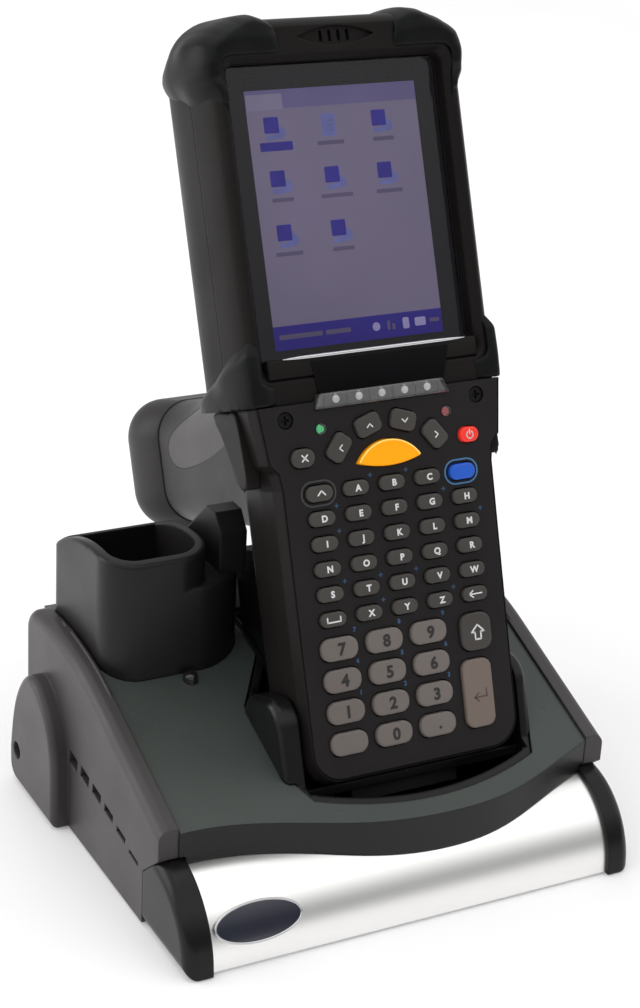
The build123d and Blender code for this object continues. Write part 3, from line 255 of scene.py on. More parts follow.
FINISHES = {
    # the cover's forward faces are painted darker: painted shade
    "cover_plastic": finish("cover_plastic", srgb(61, 67, 64), 0.3, grain=0.35, grain_size=0.5,
                            variation=0.04, rough_variation=0.05, edge=0.7, dust=0.05, specular=0.34,
                            painted_front_shade=srgb(20, 20, 22)),
    "panel_plastic": finish("panel_plastic", srgb(62, 59, 59), 0.4, grain=0.6, grain_size=0.45,
                            variation=0.05, edge=0.9, dust=0.06, specular=0.35),
    "cup_plastic": finish("cup_plastic", srgb(20, 20, 21), 0.24, grain=0.15, variation=0.08, edge=1.0,
                          dust=0.02, specular=0.25),
    "bay_plastic": finish("bay_plastic", srgb(26, 24, 25), 0.34, grain=0.3, variation=0.05, edge=0.9,
                          dust=0.03, specular=0.25),
    "bar_metal": finish("bar_metal", srgb(244, 244, 242), 0.3, metallic=1.0, grain=0.12, grain_size=0.3,
                        variation=0.015, stretch=(0.05, 1, 1), rough_variation=0.03, edge=0.3),
    "badge_metal": finish("badge_metal", srgb(30, 33, 48), 0.16, coat=0.6, variation=0.05),
    "foot_rubber": finish("foot_rubber", srgb(30, 30, 30), 0.8, grain=0.6),
    "screw_steel": finish("screw_steel", srgb(15, 15, 16), 0.5, metallic=0.6, grain=0.2),
    "board_green": finish("board_green", srgb(22, 84, 50), 0.4, coat=0.3, variation=0.12, blotch=60),
    "contact_gold": finish("contact_gold", srgb(220, 180, 100), 0.25, metallic=1.0),
    "connector_plastic": finish("connector_plastic", srgb(22, 22, 22), 0.45, grain=0.3, edge=0.2),
    "amber_lens": finish("amber_lens", srgb(30, 28, 27), 0.15, coat=0.5),
    "head_plastic": finish("head_plastic", srgb(28, 26, 25), 0.38, grain=0.3, grain_size=0.4, edge=1.0,
                           dust=0.04, specular=0.1),
    "boot_rubber": finish("boot_rubber", srgb(15, 16, 17), 0.38, grain=0.25, grain_size=0.3, variation=0.08,
                          dust=0.04, specular=0.15),
    "window_glass": finish("window_glass", srgb(250, 250, 250), 0.03, transmission=1.0, variation=0.0,
                           rough_variation=0.01, specular=0.0),
    "display_panel": finish("display_panel", srgb(14, 13, 15), 0.4, specular=0.2),
    "scan_glass": finish("scan_glass", srgb(70, 8, 10), 0.05, coat=1.0, transmission=0.4),
    "grip_plastic": finish("grip_plastic", srgb(46, 44, 45), 0.42, grain=0.5, grain_size=0.5, edge=0.9,
                           dust=0.05, specular=0.25),
    "cheek_plastic": finish("cheek_plastic", srgb(74, 72, 71), 0.4, grain=0.4, variation=0.03, edge=0.5,
                            specular=0.3),
    "trigger_plastic": finish("trigger_plastic", srgb(50, 50, 52), 0.4, grain=0.3, edge=0.4),
    "pin_steel": finish("pin_steel", srgb(180, 180, 182), 0.28, metallic=1.0),
    "keypad_plastic": finish("keypad_plastic", srgb(28, 25, 26), 0.45, grain=0.3, variation=0.05, edge=0.3,
                             dust=0.03, specular=0.25),
    "clear_lens": finish("clear_lens", srgb(238, 238, 238), 0.06, transmission=0.95, variation=0.0),
    "letter_key": finish("letter_key", srgb(70, 67, 64), 0.42, grain=0.3, variation=0.06, edge=1.1,
                         specular=0.3),
    "number_key": finish("number_key", srgb(112, 105, 101), 0.45, grain=0.3, variation=0.05, edge=1.1,
                         specular=0.3),
    # the scan, power and function keys glow a little: painted light, as they are no lamps
    "scan_key_yellow": finish("scan_key_yellow", srgb(255, 160, 6), 0.42, grain=0.2, variation=0.03,
                              glow=0.3, edge=0.5, specular=0.25),
    "power_key_red": finish("power_key_red", srgb(206, 44, 32), 0.35, coat=0.2, glow=0.5, edge=0.8),
    "function_key_blue": finish("function_key_blue", srgb(30, 86, 190), 0.38, grain=0.2, glow=0.1,
                                edge=0.8),
    "enter_key_grey": finish("enter_key_grey", srgb(118, 106, 98), 0.45, grain=0.3, variation=0.05,
                             edge=1.1, specular=0.3),
}
PRINT = {
    "white": finish("print_white", srgb(222, 222, 222), 0.5, variation=0.03),
    "dark": finish("print_dark", srgb(40, 38, 38), 0.5, variation=0.05),
    "blue": finish("print_blue", srgb(50, 84, 120), 0.5, variation=0.08),
    "ring_grey": finish("ring_grey", srgb(64, 64, 64), 0.4, variation=0.05),
    "ring_blue": finish("ring_blue", srgb(72, 118, 160), 0.4, variation=0.05),
    # painted highlight for the scan key's upper edge
    "orange_highlight": finish("orange_highlight", srgb(255, 206, 96), 0.4, variation=0.03, glow=0.3),
    "brown": finish("print_brown", srgb(84, 70, 66), 0.5, variation=0.05),
}
TRIM = {
    "chrome": finish("trim_chrome", srgb(206, 206, 208), 0.22, metallic=1.0, variation=0.03),
    "gloss_black": finish("gloss_black", srgb(13, 13, 15), 0.16, variation=0.05, specular=0.12),
    # painted light: the display's black mask glows as if lit
    "mask_black_painted_light": finish("mask_black_painted_light", srgb(12, 11, 13), 0.6, variation=0.05, specular=0.0, glow=2.4),
    "lamp": finish("lamp_white", srgb(205, 205, 205), 0.25, variation=0.04, glow=0.3),
    "strip": finish("lamp_strip", srgb(104, 105, 106), 0.35, variation=0.08, blotch=60),
    "green": finish("lamp_green", srgb(64, 186, 116), 0.3, glow=0.5),
    "red": finish("lamp_red", srgb(160, 70, 70), 0.3, glow=0.25),
}
SCREEN = {
    "page": finish("screen_page", srgb(99, 92, 114), 0.5, variation=0.07, blotch=9.0, glow=0.62,
                   specular=0.1),
    "header": finish("screen_header", srgb(84, 77, 114), 0.5, variation=0.04, glow=0.62, specular=0.1),
    "tab": finish("screen_tab", srgb(106, 100, 124), 0.5, variation=0.04, glow=0.62, specular=0.1),
    "bar": finish("screen_bar", srgb(36, 28, 104), 0.5, variation=0.06, glow=0.65, specular=0.1),
    "deep": finish("screen_deep", srgb(40, 34, 112), 0.5, variation=0.1, blotch=200.0, glow=0.65,
                   specular=0.1),
    "light": finish("screen_light", srgb(84, 88, 136), 0.5, variation=0.08, blotch=200.0, glow=0.65,
                    specular=0.1),
    "pale": finish("screen_pale", srgb(124, 118, 156), 0.5, variation=0.04, glow=0.65, specular=0.1),
    "label": finish("screen_label", srgb(74, 67, 92), 0.5, variation=0.05, glow=0.62, specular=0.1),
}
for subpart in frame["record"]["subparts"]:
    node = frame["nodes"][subpart["node"]]
    node.data.materials.clear()
    node.data.materials.append(FINISHES[subpart["material_slot"]])

# ---------------------------------------------------------------- mesh helpers


def piece(name, bm, body, material):
    """Turns a bmesh, already in metres and in place, into a piece that rides on a body."""
    mesh = bpy.data.meshes.new(name)
    bmesh.ops.recalc_face_normals(bm, faces=bm.faces)
    bm.to_mesh(mesh)
    bm.free()
    mesh.materials.append(material)
    mesh.shade_smooth()
    mesh.set_sharp_from_angle(angle=math.radians(38))
    obj = bpy.data.objects.new(name, mesh)
    bpy.context.scene.collection.objects.link(obj)
    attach(obj, body)
    return obj


def add_plate(bm, outline, low, high, place, bevel=0.0):
    """A flat outline in millimetres, raised from low to high, with a soft upper edge."""
    bottom = [bm.verts.new((x, y, low)) for x, y in outline]
    top = [bm.verts.new((x, y, high)) for x, y in outline]
    count = len(outline)
    bm.faces.new(reversed(bottom))
    lid = bm.faces.new(top)
    sides = [bm.faces.new((bottom[i], bottom[(i + 1) % count], top[(i + 1) % count], top[i]))
             for i in range(count)]
    made = set(bottom + top)
    if bevel:
        result = bmesh.ops.bevel(bm, geom=list(lid.edges), offset=bevel, offset_type="OFFSET",
                                 segments=3, profile=0.6, affect="EDGES")
        made |= set(result["verts"])
        made |= {vert for face in sides if face.is_valid for vert in face.verts}
    for vert in made:
        if vert.is_valid:
            vert.co = place @ vert.co


def add_tube(bm, path, radius, closed=False, sides=10, taper=None):
    """Round bead in metres along a path; taper gives each point's share of the radius."""
    count = len(path)
    rings = []
    for index, point in enumerate(path):
        before = path[index - 1] if index or closed else point
        after = path[(index + 1) % count] if index < count - 1 or closed else point
        along = (Vector(after) - Vector(before)).normalized()
        side = along.cross(Vector((0, 0.31, 0.95))).normalized()
        other = along.cross(side)
        size = radius * (taper[index] if taper else 1.0)
        rings.append([bm.verts.new(Vector(point) + (side * math.cos(a) + other * math.sin(a)) * size)
                      for a in (math.tau * k / sides for k in range(sides))])
    for index in range(count if closed else count - 1):
        first, second = rings[index], rings[(index + 1) % count]
        for k in range(sides):
            bm.faces.new((first[k], first[(k + 1) % sides], second[(k + 1) % sides], second[k]))
    if not closed:
        bm.faces.new(rings[0])
        bm.faces.new(rings[-1])


def add_dome(bm, place, radius, height, sides=20, rings=5):
    """Shallow round cap, flat underneath, in the millimetres of a placement."""
    levels = []
    for ring in range(rings):
        angle = math.pi / 2 * ring / rings
        levels.append([bm.verts.new(place @ Vector((radius * math.cos(angle) * math.cos(t),
                                                    radius * math.cos(angle) * math.sin(t),
                                                    height * math.sin(angle))))
                       for t in (math.tau * k / sides for k in range(sides))])
    tip = bm.verts.new(place @ Vector((0, 0, height)))
    for low, high in zip(levels, levels[1:]):
        for k in range(sides):
            bm.faces.new((low[k], low[(k + 1) % sides], high[(k + 1) % sides], high[k]))
    for k in range(sides):
        bm.faces.new((levels[-1][k], levels[-1][(k + 1) % sides], tip))
    bm.faces.new(levels[0])


def arc(center, radius, start, end, steps):
    """Points on an arc, angles in degrees."""
    angles = (math.radians(start + (end - start) * k / steps) for k in range(steps + 1))
    return [(center[0] + radius * math.cos(a), center[1] + radius * math.sin(a)) for a in angles]


def rounded(width, height, radius, steps=5, middle=(0, 0)):
    """Outline of a rectangle with rounded corners."""
    x, y = width / 2 - radius, height / 2 - radius
    mx, my = middle
    points = []
    for cx, cy, start in ((x, y, 0), (-x, y, 90), (-x, -y, 180), (x, -y, 270)):
        points += arc((mx + cx, my + cy), radius, start, start + 90, steps)
    return points


def add_ring(bm, outer, inner, low, high, place):
    """Flat band between two outlines with as many points each."""
    count = len(outer)
    levels = [[bm.verts.new(place @ Vector((x, y, z))) for x, y in outline]
              for outline, z in ((outer, low), (outer, high), (inner, high), (inner, low))]
    for first, second in zip(levels, levels[1:] + levels[:1]):
        for k in range(count):
            bm.faces.new((first[k], first[(k + 1) % count], second[(k + 1) % count], second[k]))


def curve_through(points, steps=6):
    """Closed smooth outline through given points."""
    count = len(points)
    outline = []
    for index in range(count):
        p0, p1, p2, p3 = (np.array(points[(index + k) % count], float) for k in (-1, 0, 1, 2))
        for step in range(steps):
            t = step / steps
            outline.append(tuple(0.5 * (2 * p1 + (p2 - p0) * t + (2 * p0 - 5 * p1 + 4 * p2 - p3) * t ** 2
                                        + (3 * p1 - p0 - 3 * p2 + p3) * t ** 3)))
    return outline


def add_glyph(bm, text, size, place, weight=0.045):
    """A printed letter or digit, middle at the placement's origin, height of a capital 0.7 of size."""
    data = bpy.data.curves.new("glyph", "FONT")
    data.body = text
    data.size = size
    data.offset = weight * size
    data.extrude = 0.012
    data.align_x = "CENTER"
    data.resolution_u = 4
    obj = bpy.data.objects.new("glyph", data)
    bpy.context.scene.collection.objects.link(obj)
    bpy.context.view_layer.update()
    mesh = bpy.data.meshes.new_from_object(obj.evaluated_get(bpy.context.evaluated_depsgraph_get()))
    mesh.transform(place @ Matrix.Translation((0, -0.35 * size, 0)))
    bm.from_mesh(mesh)
    bpy.data.objects.remove(obj)
    bpy.data.curves.remove(data)
    bpy.data.meshes.remove(mesh)


def add_stroke(bm, points, width, place):
    """A printed line of even width through flat points."""
    for (x0, y0), (x1, y1) in zip(points, points[1:]):
        length = math.hypot(x1 - x0, y1 - y0)
        turn = math.atan2(y1 - y0, x1 - x0)
        local = Matrix.Translation(((x0 + x1) / 2, (y0 + y1) / 2, 0)) @ Matrix.Rotation(turn, 4, "Z")
        add_plate(bm, rounded(length + width, width, width * 0.45, steps=3), -RELIEF, RELIEF, place @ local)


# ---------------------------------------------------------------- keys and their legends


def islands(node):
    """The separate pieces of a node, as arrays of points in metres."""
    mesh = frame["nodes"][node].data
    places, same = np.unique(np.round(points_of(node), 6), axis=0, return_inverse=True)
    ends = np.empty(len(mesh.edges) * 2, dtype=np.int64)
    mesh.edges.foreach_get("vertices", ends)
    ends = same.ravel()[ends].reshape(-1, 2)
    labels = np.arange(len(places))
    while (labels[ends[:, 0]] != labels[ends[:, 1]]).any():
        lowest = labels[ends].min(1)
        np.minimum.at(labels, ends[:, 0], lowest)
        np.minimum.at(labels, ends[:, 1], lowest)
        labels = labels[labels]
    return [places[labels == label] for label in np.unique(labels)]


def caps(node):
    """Middle and size of each key in a node, left to right: (u, s, width, height)."""
    keys = []
    for island in islands(node):
        points = pad.measure(island)
        top = points[points[:, 2] > points[:, 2].max() - 1.0]
        low, high = top.min(0), top.max(0)
        keys.append(((low[0] + high[0]) / 2, (low[1] + high[1]) / 2, high[0] - low[0], high[1] - low[1]))
    return sorted(keys)


LETTER_ROWS = {"letter_row_1": "ABC", "letter_row_2": "DEFGH", "letter_row_3": "IJKLM",
               "letter_row_4": "NOPQR", "letter_row_5": "STUVW", "letter_row_6": " XYZ "}
NUMBER_ROWS = {"number_row_1": "789", "number_row_2": "456", "number_row_3": "123", "number_row_4": " 0."}
LETTER_SIZE = 2.7
NUMBER_SIZE = 5.0
MARK_SIZE = 1.9              # small blue digits on the keypad frame
LEGEND_SHIFT = 0.5           # legends stand right of the keys' middles


def add_legends():
    for rows, size, ink in ((LETTER_ROWS, LETTER_SIZE, "white"), (NUMBER_ROWS, NUMBER_SIZE, "dark")):
        for node, legends in rows.items():
            bm = bmesh.new()
            for (u, s, _, _), legend in zip(caps(node), legends):
                if legend == ".":
                    spot = rounded(1.0, 1.0, 0.49, middle=(LEGEND_SHIFT, -0.9))
                    add_plate(bm, spot, -RELIEF, RELIEF, pad.matrix(u, s, LEGEND_LIFT))
                elif legend != " ":
                    add_glyph(bm, legend, size, pad.matrix(u + LEGEND_SHIFT, s, LEGEND_LIFT))
            if node == "letter_row_6":
                left, right = caps(node)[0], caps(node)[-1]
                bracket = [(-2.2, 0.7), (-2.2, -0.7), (2.2, -0.7), (2.2, 0.7)]
                add_stroke(bm, bracket, 0.45, pad.matrix(left[0], left[1], LEGEND_LIFT))
                arrow = pad.matrix(right[0], right[1], LEGEND_LIFT)
                add_stroke(bm, [(2.2, 0), (-2.2, 0)], 0.42, arrow)
                add_stroke(bm, [(-0.9, 1.0), (-2.2, 0), (-0.9, -1.0)], 0.42, arrow)
            piece(f"legend_{node}", bm, node, PRINT[ink])


def symbol(node, ink, strokes, width=0.45, shift=(0, 0)):
    """Line symbol printed on a single key."""
    u, s, _, _ = caps(node)[0]
    bm = bmesh.new()
    place = pad.matrix(u + shift[0], s + shift[1], LEGEND_LIFT)
    for stroke in strokes:
        add_stroke(bm, stroke, width, place)
    return piece(f"symbol_{node}", bm, node, PRINT[ink])


POWER_SYMBOL = [arc((0, -0.1), 1.15, 125, 415, 10), [(0, 0.2), (0, 1.5)]]
CROSS_SYMBOL = [[(-0.9, -0.9), (0.9, 0.9)], [(-0.9, 0.9), (0.9, -0.9)]]
CARET_SYMBOL = [[(-1.2, -0.5), (0, 0.8), (1.2, -0.5)]]
SHIFT_SYMBOL = [[(-2.2, 0.1), (0, 2.3), (2.2, 0.1), (1.0, 0.1), (1.0, -2.2), (-1.0, -2.2), (-1.0, 0.1),
                 (-2.2, 0.1)]]
ENTER_SYMBOL = [[(2.2, 1.9), (2.2, -0.4), (-2.0, -0.4)], [(-0.7, 0.8), (-2.0, -0.4), (-0.7, -1.6)]]
CHEVRON = ((-0.5, 0.9), (0.5, 0), (-0.5, -0.9))
CHEVRON_TURNS = (180, 90, -90, 0)


def add_symbols():
    symbol("key_power", "white", POWER_SYMBOL, 0.34)
    symbol("key_escape", "white", CROSS_SYMBOL, 0.45, (0.3, 0))
    symbol("key_control", "white", CARET_SYMBOL, 0.45, (0.4, 0))
    symbol("key_shift", "white", SHIFT_SYMBOL, 0.5, (0.4, -0.2))
    symbol("key_enter", "brown", ENTER_SYMBOL, 0.55, (0.3, -0.8))
    for index, turn in enumerate(CHEVRON_TURNS):
        c, s = math.cos(math.radians(turn)), math.sin(math.radians(turn))
        chevron = [(c * x - s * y, s * x + c * y) for x, y in CHEVRON]
        symbol(f"key_nav_{index + 1}", "white", [chevron], 0.38, (0.3, -0.2))


def add_key_rings_and_highlight():
    """Ring let into the frame around two keys, and a painted highlight along the scan key's upper edge."""
    frame_top = pad.measure(points_of("keypad_frame"))[:, 2].max()
    for node, material in (("key_control", "ring_grey"), ("key_function", "ring_blue")):
        u, s, width, height = caps(node)[0]
        bm = bmesh.new()
        outer = rounded(width + 3.0, height + 3.0, height / 2 + 1.4, steps=8)
        inner = rounded(width + 2.0, height + 2.0, height / 2 + 0.9, steps=8)
        add_ring(bm, outer, inner, -0.3, 0.12, pad.matrix(u, s, frame_top))
        piece(f"ring_{node}", bm, "terminal", PRINT[material])
    u, s, width, height = caps("key_scan")[0]
    chord, top = s - height / 2 + SCAN_SAG, s + height / 2
    rise = top - chord
    bend = (width ** 2 / 4 + rise ** 2) / (2 * rise)
    upper = []
    for step in range(25):
        x = (width / 2 - 0.3) * (1 - step / 12)
        upper.append((x, top - bend - 0.15 + math.sqrt(bend ** 2 - x ** 2)))
    # painted highlight: a light orange glowing bead along the scan key's upper edge
    bm = bmesh.new()
    add_tube(bm, [pad.at(u + x, y, 0.02) for x, y in upper], 0.28 * MM, sides=6)
    piece("scan_key_highlight", bm, "key_scan", PRINT["orange_highlight"])


PLUS_MARKS = {"letter_row_1": (0, 1), "letter_row_2": (0, 3), "letter_row_3": (0, 4),
              "letter_row_5": (0, 1, 2), "letter_row_6": (1, 3)}


def add_frame_marks():
    """Small blue marks printed on the keypad frame between the keys."""
    frame_top = pad.measure(points_of("keypad_frame"))[:, 2].max() + RELIEF
    bm = bmesh.new()
    for node in ("number_row_1", "number_row_2", "number_row_3"):
        for (u, s, width, height), digit in zip(caps(node), NUMBER_ROWS[node]):
            add_glyph(bm, digit, MARK_SIZE, pad.matrix(u + width / 2 - 0.2, s + height / 2 + 1.4, frame_top))
    for node, columns in PLUS_MARKS.items():
        for column in columns:
            u, s, width, height = caps(node)[column]
            place = pad.matrix(u + width / 2 + 1.2, s + height / 2 + 0.9, frame_top)
            add_stroke(bm, [(-0.6, 0), (0.6, 0)], 0.3, place)
            add_stroke(bm, [(0, -0.6), (0, 0.6)], 0.3, place)
    piece("frame_marks", bm, "terminal", PRINT["blue"])


LAMP_PITCH = 7.8
LAMP_DEPTH = 1.5             # from the clear bar's top down to the lamps


def add_lamps():
    """Lamps seen through the clear bar and the two round lenses."""
    lenses = [pad.measure(island) for island in islands("keypad_lenses")]
    lenses.sort(key=lambda points: np.ptp(points[:, 0]))
    low, high = lenses[-1].min(0), lenses[-1].max(0)
    middle_s = (low[1] + high[1]) / 2
    level = high[2] - LAMP_DEPTH
    bm = bmesh.new()
    strip = [(low[0] + 1.2, low[1] + 0.6), (high[0] - 1.2, low[1] + 0.6), (high[0] - 2.8, high[1] - 0.5),
             (low[0] + 2.8, high[1] - 0.5)]
    add_plate(bm, strip, level - 0.6, level, pad.matrix())
    for step in range(6):
        wall = rounded(0.5, 3.0, 0.2, middle=((step - 2.5) * LAMP_PITCH, middle_s))
        add_plate(bm, wall, level, level + 0.5, pad.matrix())
    piece("lamp_strip", bm, "terminal", TRIM["strip"])
    bm = bmesh.new()
    for step in range(5):
        add_dome(bm, pad.matrix((step - 2) * LAMP_PITCH, middle_s + 0.2, level), 1.2, 0.9)
    piece("bar_lamps", bm, "terminal", TRIM["lamp"])
    for lens in lenses[:-1]:
        low, high = lens.min(0), lens.max(0)
        color = "green" if low[0] < 0 else "red"
        place = pad.matrix((low[0] + high[0]) / 2, (low[1] + high[1]) / 2, high[2] - 1.1)
        bm = bmesh.new()
        add_dome(bm, place, 1.05, 0.8)
        piece(f"lamp_{color}", bm, "terminal", TRIM[color])


# ---------------------------------------------------------------- display


SCREEN_LEVEL = 0.05          # the picture's height over the window's rear face
SCREEN_LAYER = 0.02          # thickness of each of its parts
HEADER_HEIGHT = 5.6
STATUS_HEIGHT = 7.2
TAB_WIDTH = 11.9
ICON_ROWS = [(65.4, (-20.2, -2.0, 16.0)), (49.6, (-20.2, -2.0, 16.0)), (33.6, (-20.2, -2.0))]


def screen_piece(name, parts, level, material):
    """Flat parts of the picture: outlines in display coordinates, at a level just under the glass."""
    bm = bmesh.new()
    for outline in parts:
        add_plate(bm, outline, level, level + SCREEN_LAYER, head.matrix(0, 0, SCREEN_LEVEL))
    return piece(name, bm, "terminal", SCREEN[material])


def bar_outline(u0, v0, u1, v1, radius=0.25):
    return rounded(u1 - u0, v1 - v0, radius, steps=3, middle=((u0 + u1) / 2, (v0 + v1) / 2))


def add_screen():
    """A lit page with generic tiles, a header, a tab and a status bar."""
    half, top = DISPLAY[0] / 2, DISPLAY[1]
    border = 2 * WINDOW_MARGIN - 0.6
    mask = bmesh.new()
    outer = rounded(DISPLAY[0] + border, top + border, 2.6, middle=(0, top / 2))
    inner = rounded(DISPLAY[0], top, 0.3, middle=(0, top / 2))
    add_ring(mask, outer, inner, 0.0, 0.12, head.matrix(0, 0, SCREEN_LEVEL))
    # the mask round the picture glows faintly: painted light
    piece("display_mask", mask, "terminal", TRIM["mask_black_painted_light"])

    tab = bar_outline(-half + 0.3, top - HEADER_HEIGHT - 0.3, -half + 0.3 + TAB_WIDTH, top - 1.2)
    screen_piece("screen_page", [bar_outline(-half, 0, half, top)], 0.0, "page")
    screen_piece("screen_header", [bar_outline(-half, top - HEADER_HEIGHT, half, top)], 0.03, "header")
    screen_piece("screen_tab", [tab], 0.06, "tab")
    screen_piece("screen_bar", [bar_outline(-half, 0, half, STATUS_HEIGHT)], 0.03, "bar")

    deep, light, labels = [], [], []
    for row, (v, columns) in enumerate(ICON_ROWS):
        for column, u in enumerate(columns):
            if row == 0 and column == 1:
                light += [bar_outline(u - 2.6, v - 3.4, u + 2.2, v + 3.4, 0.5)]
                labels += [bar_outline(u - 1.8, v + step, u + 1.4, v + step + 0.5)
                           for step in (-2.0, -0.4, 1.2)]
            else:
                deep += [bar_outline(u - 3.4, v - 1.4, u + 1.5, v + 3.4, 0.4)]
                light += [bar_outline(u - 3.0, v - 3.4, u + 0.6, v - 1.9, 0.3),
                          rounded(3.8, 3.8, 1.85, middle=(u + 1.7, v - 1.3))]
            width = 5.4 - 0.9 * ((row * 2 + column) % 3)
            labels.append(bar_outline(u - width, v - 5.9, u + width, v - 4.7))
    screen_piece("screen_tiles_light", light, 0.05, "light")
    screen_piece("screen_tiles_deep", deep, 0.07, "deep")
    screen_piece("screen_labels", labels, 0.05, "label")
    u, v = ICON_ROWS[0][1][0], ICON_ROWS[0][0]
    screen_piece("screen_label_marked", [bar_outline(u - 5.4, v - 6.6, u + 5.4, v - 4.0)], 0.08, "deep")

    status = [rounded(2.6, 2.6, 1.25, middle=(5.8, 3.8)), bar_outline(9.6, 2.4, 10.6, 5.2),
              bar_outline(11.3, 2.4, 12.3, 4.2), bar_outline(15.0, 2.2, 17.2, 5.6, 0.5),
              bar_outline(19.2, 2.6, 23.0, 5.2, 0.5), bar_outline(-27.0, 3.2, -12.6, 4.6),
              bar_outline(-11.4, 3.2, -3.0, 4.6), bar_outline(24.4, 3.3, 27.8, 4.5)]
    screen_piece("screen_status", status, 0.06, "label")
    screen_piece("screen_status_marks", status[:1] + status[3:5], 0.08, "pale")


CHIN_LEDGE = ((-35.6, -2.6), (-35.6, -8.2), (35.6, -8.2), (35.6, -2.6), (31.5, -2.3), (-31.5, -2.3))
CHIN_PLATE = ((-21.5, -3.9), (-20.0, -14.9), (22.5, -14.9), (25.5, -3.9))
LEDGE_FOOT = 2.1             # just above the window's front face
LINE_MIDDLE = (0.5, -2.6)
LINE_HALF_LENGTH = 31.0
LINE_RADIUS = 0.62


def add_chin():
    """Ledge across the foot of the window, a chrome bead along its edge that stands in for its highlight, and the
    gloss plate below it.
    """
    bezel_top = head.measure(points_of("head_bezel"))[:, 2].max()
    place = head.matrix(0, 0, bezel_top)
    bm = bmesh.new()
    add_plate(bm, CHIN_LEDGE, LEDGE_FOOT - bezel_top, 0.1, place, bevel=0.5)
    piece("chin_ledge", bm, "terminal", FINISHES["head_plastic"])
    # painted highlight: a bright chrome bead standing in for the light caught by the ledge's edge
    path, taper = [], []
    for k in range(25):
        t = k / 12 - 1
        path.append(head.at(LINE_MIDDLE[0] + LINE_HALF_LENGTH * t, LINE_MIDDLE[1], bezel_top + 0.2))
        taper.append(max(0.2, 1 - t ** 10))
    bm = bmesh.new()
    add_tube(bm, path, LINE_RADIUS * MM, taper=taper)
    piece("chin_highlight_bead", bm, "terminal", TRIM["chrome"])
    bm = bmesh.new()
    add_plate(bm, CHIN_PLATE, -0.5, 0.5, place, bevel=0.25)
    piece("chin_plate", bm, "terminal", TRIM["gloss_black"])


# ---------------------------------------------------------------- soft boots and shoulders


def bump(points, center, spread):
    """Smooth hill, 1 at its centre, for points in millimetres."""
    return np.exp(-(((points - np.array(center)) / np.array(spread)) ** 2).sum(1))


def ease(values, low, high):
    """Smooth step from 0 at low to 1 at high."""
    t = np.clip((values - low) / (high - low), 0, 1)
    return t * t * (3 - 2 * t)


# Shift of a top boot's rim from its plain form, by direction from the corner's middle: 0 is sideways and 90
# is up. Where the shift reaches BOOT_DIVE the rubber ends under the housing's surface.
BOOT_DIVE = -3.4
BOOT_CORNER = (28.5, 83.4)
BOOT_SPLIT = 40.0            # top boots lie above this height on the head, bottom boots below it
RIM_REACH = (6, 16.5)        # the shift grows between these distances from the corner's middle
FRONT_RIM = ((-40, -30, -20, -8, 8, 26, 44, 62, 75, 84, 100, 112, 122),
             (-3.4, -2.6, -0.6, 0.3, 0.5, 0.6, -1.1, -1.8, -1.8, -1.1, -0.6, -1.9, -3.4))
REAR_RIM = ((-40, -24, -16, -8, 0, 8, 16, 26, 60, 100, 112, 122),
            (-3.4, -3.2, -1.8, -0.4, 0.3, 0.0, -0.7, -1.2, -1.2, -0.6, -1.9, -3.4))
# Hills and valleys of the front faces: height, middle (u, v, w) and spread.
TOP_HILLS = ((0.7, (34, 91, 7), (6, 5, 9)), (-0.9, (29, 87, 7), (9, 2.6, 9)),
             (0.4, (22, 90, 7), (5, 4, 9)), (-0.9, (40, 81, 7), (6, 2.4, 9)))
FOOT_HILL = (0.5, (41, -8, 7), (5, 7, 9))
VOXEL = 0.65
CEILING_GAP = 0.1            # the soft boots stay this far under the top of the CAD's box


def boot_shift(points):
    """Shift of the boots' shell at each point: lobed rims, a flared lower edge and soft front faces."""
    side = np.sign(points[:, 0])
    u, v, w = np.abs(points[:, 0]), points[:, 1], points[:, 2]
    rear = 1 - ease(w, -14, -2)
    far_rear = 1 - ease(w, -25, -13)
    upper = v > BOOT_SPLIT

    over_u = np.maximum(u - BOOT_CORNER[0], 0)
    over_v = np.where(upper, np.maximum(v - BOOT_CORNER[1], 0), 0)
    reach = np.maximum(np.hypot(over_u, over_v), 0.001)
    direction = np.degrees(np.arctan2(v - BOOT_CORNER[1], u - BOOT_CORNER[0]))
    top_rim = np.interp(direction, *FRONT_RIM) * (1 - rear) + np.interp(direction, *REAR_RIM) * rear
    top_rim -= 1.0 * far_rear
    foot_edge = 0.4 * w - 1.0
    foot_rim = 0.3 - 1.3 * rear * ease(v, -13, -8) + BOOT_DIVE * ease(v - foot_edge, -3.5, 3.5)
    rim = np.maximum(np.where(upper, top_rim, foot_rim), BOOT_DIVE) * ease(reach, *RIM_REACH)

    folded = np.stack([u, v, w], 1)
    top_front = sum(height * bump(folded, middle, spread) for height, middle, spread in TOP_HILLS)
    top_front -= 0.9 * (1 - ease(u, 18, 23)) + 2.2 * (1 - ease(v, 68.5, 74.5))
    foot_front = FOOT_HILL[0] * bump(folded, *FOOT_HILL[1:])
    foot_front -= 1.0 * (1 - ease(u, 34, 38)) + 2.2 * ease(v, -1, 5)
    front = np.where(upper, top_front, foot_front) * ease(w, -8, 4)
    return np.stack([side * over_u / reach * rim, over_v / reach * rim, front], 1)


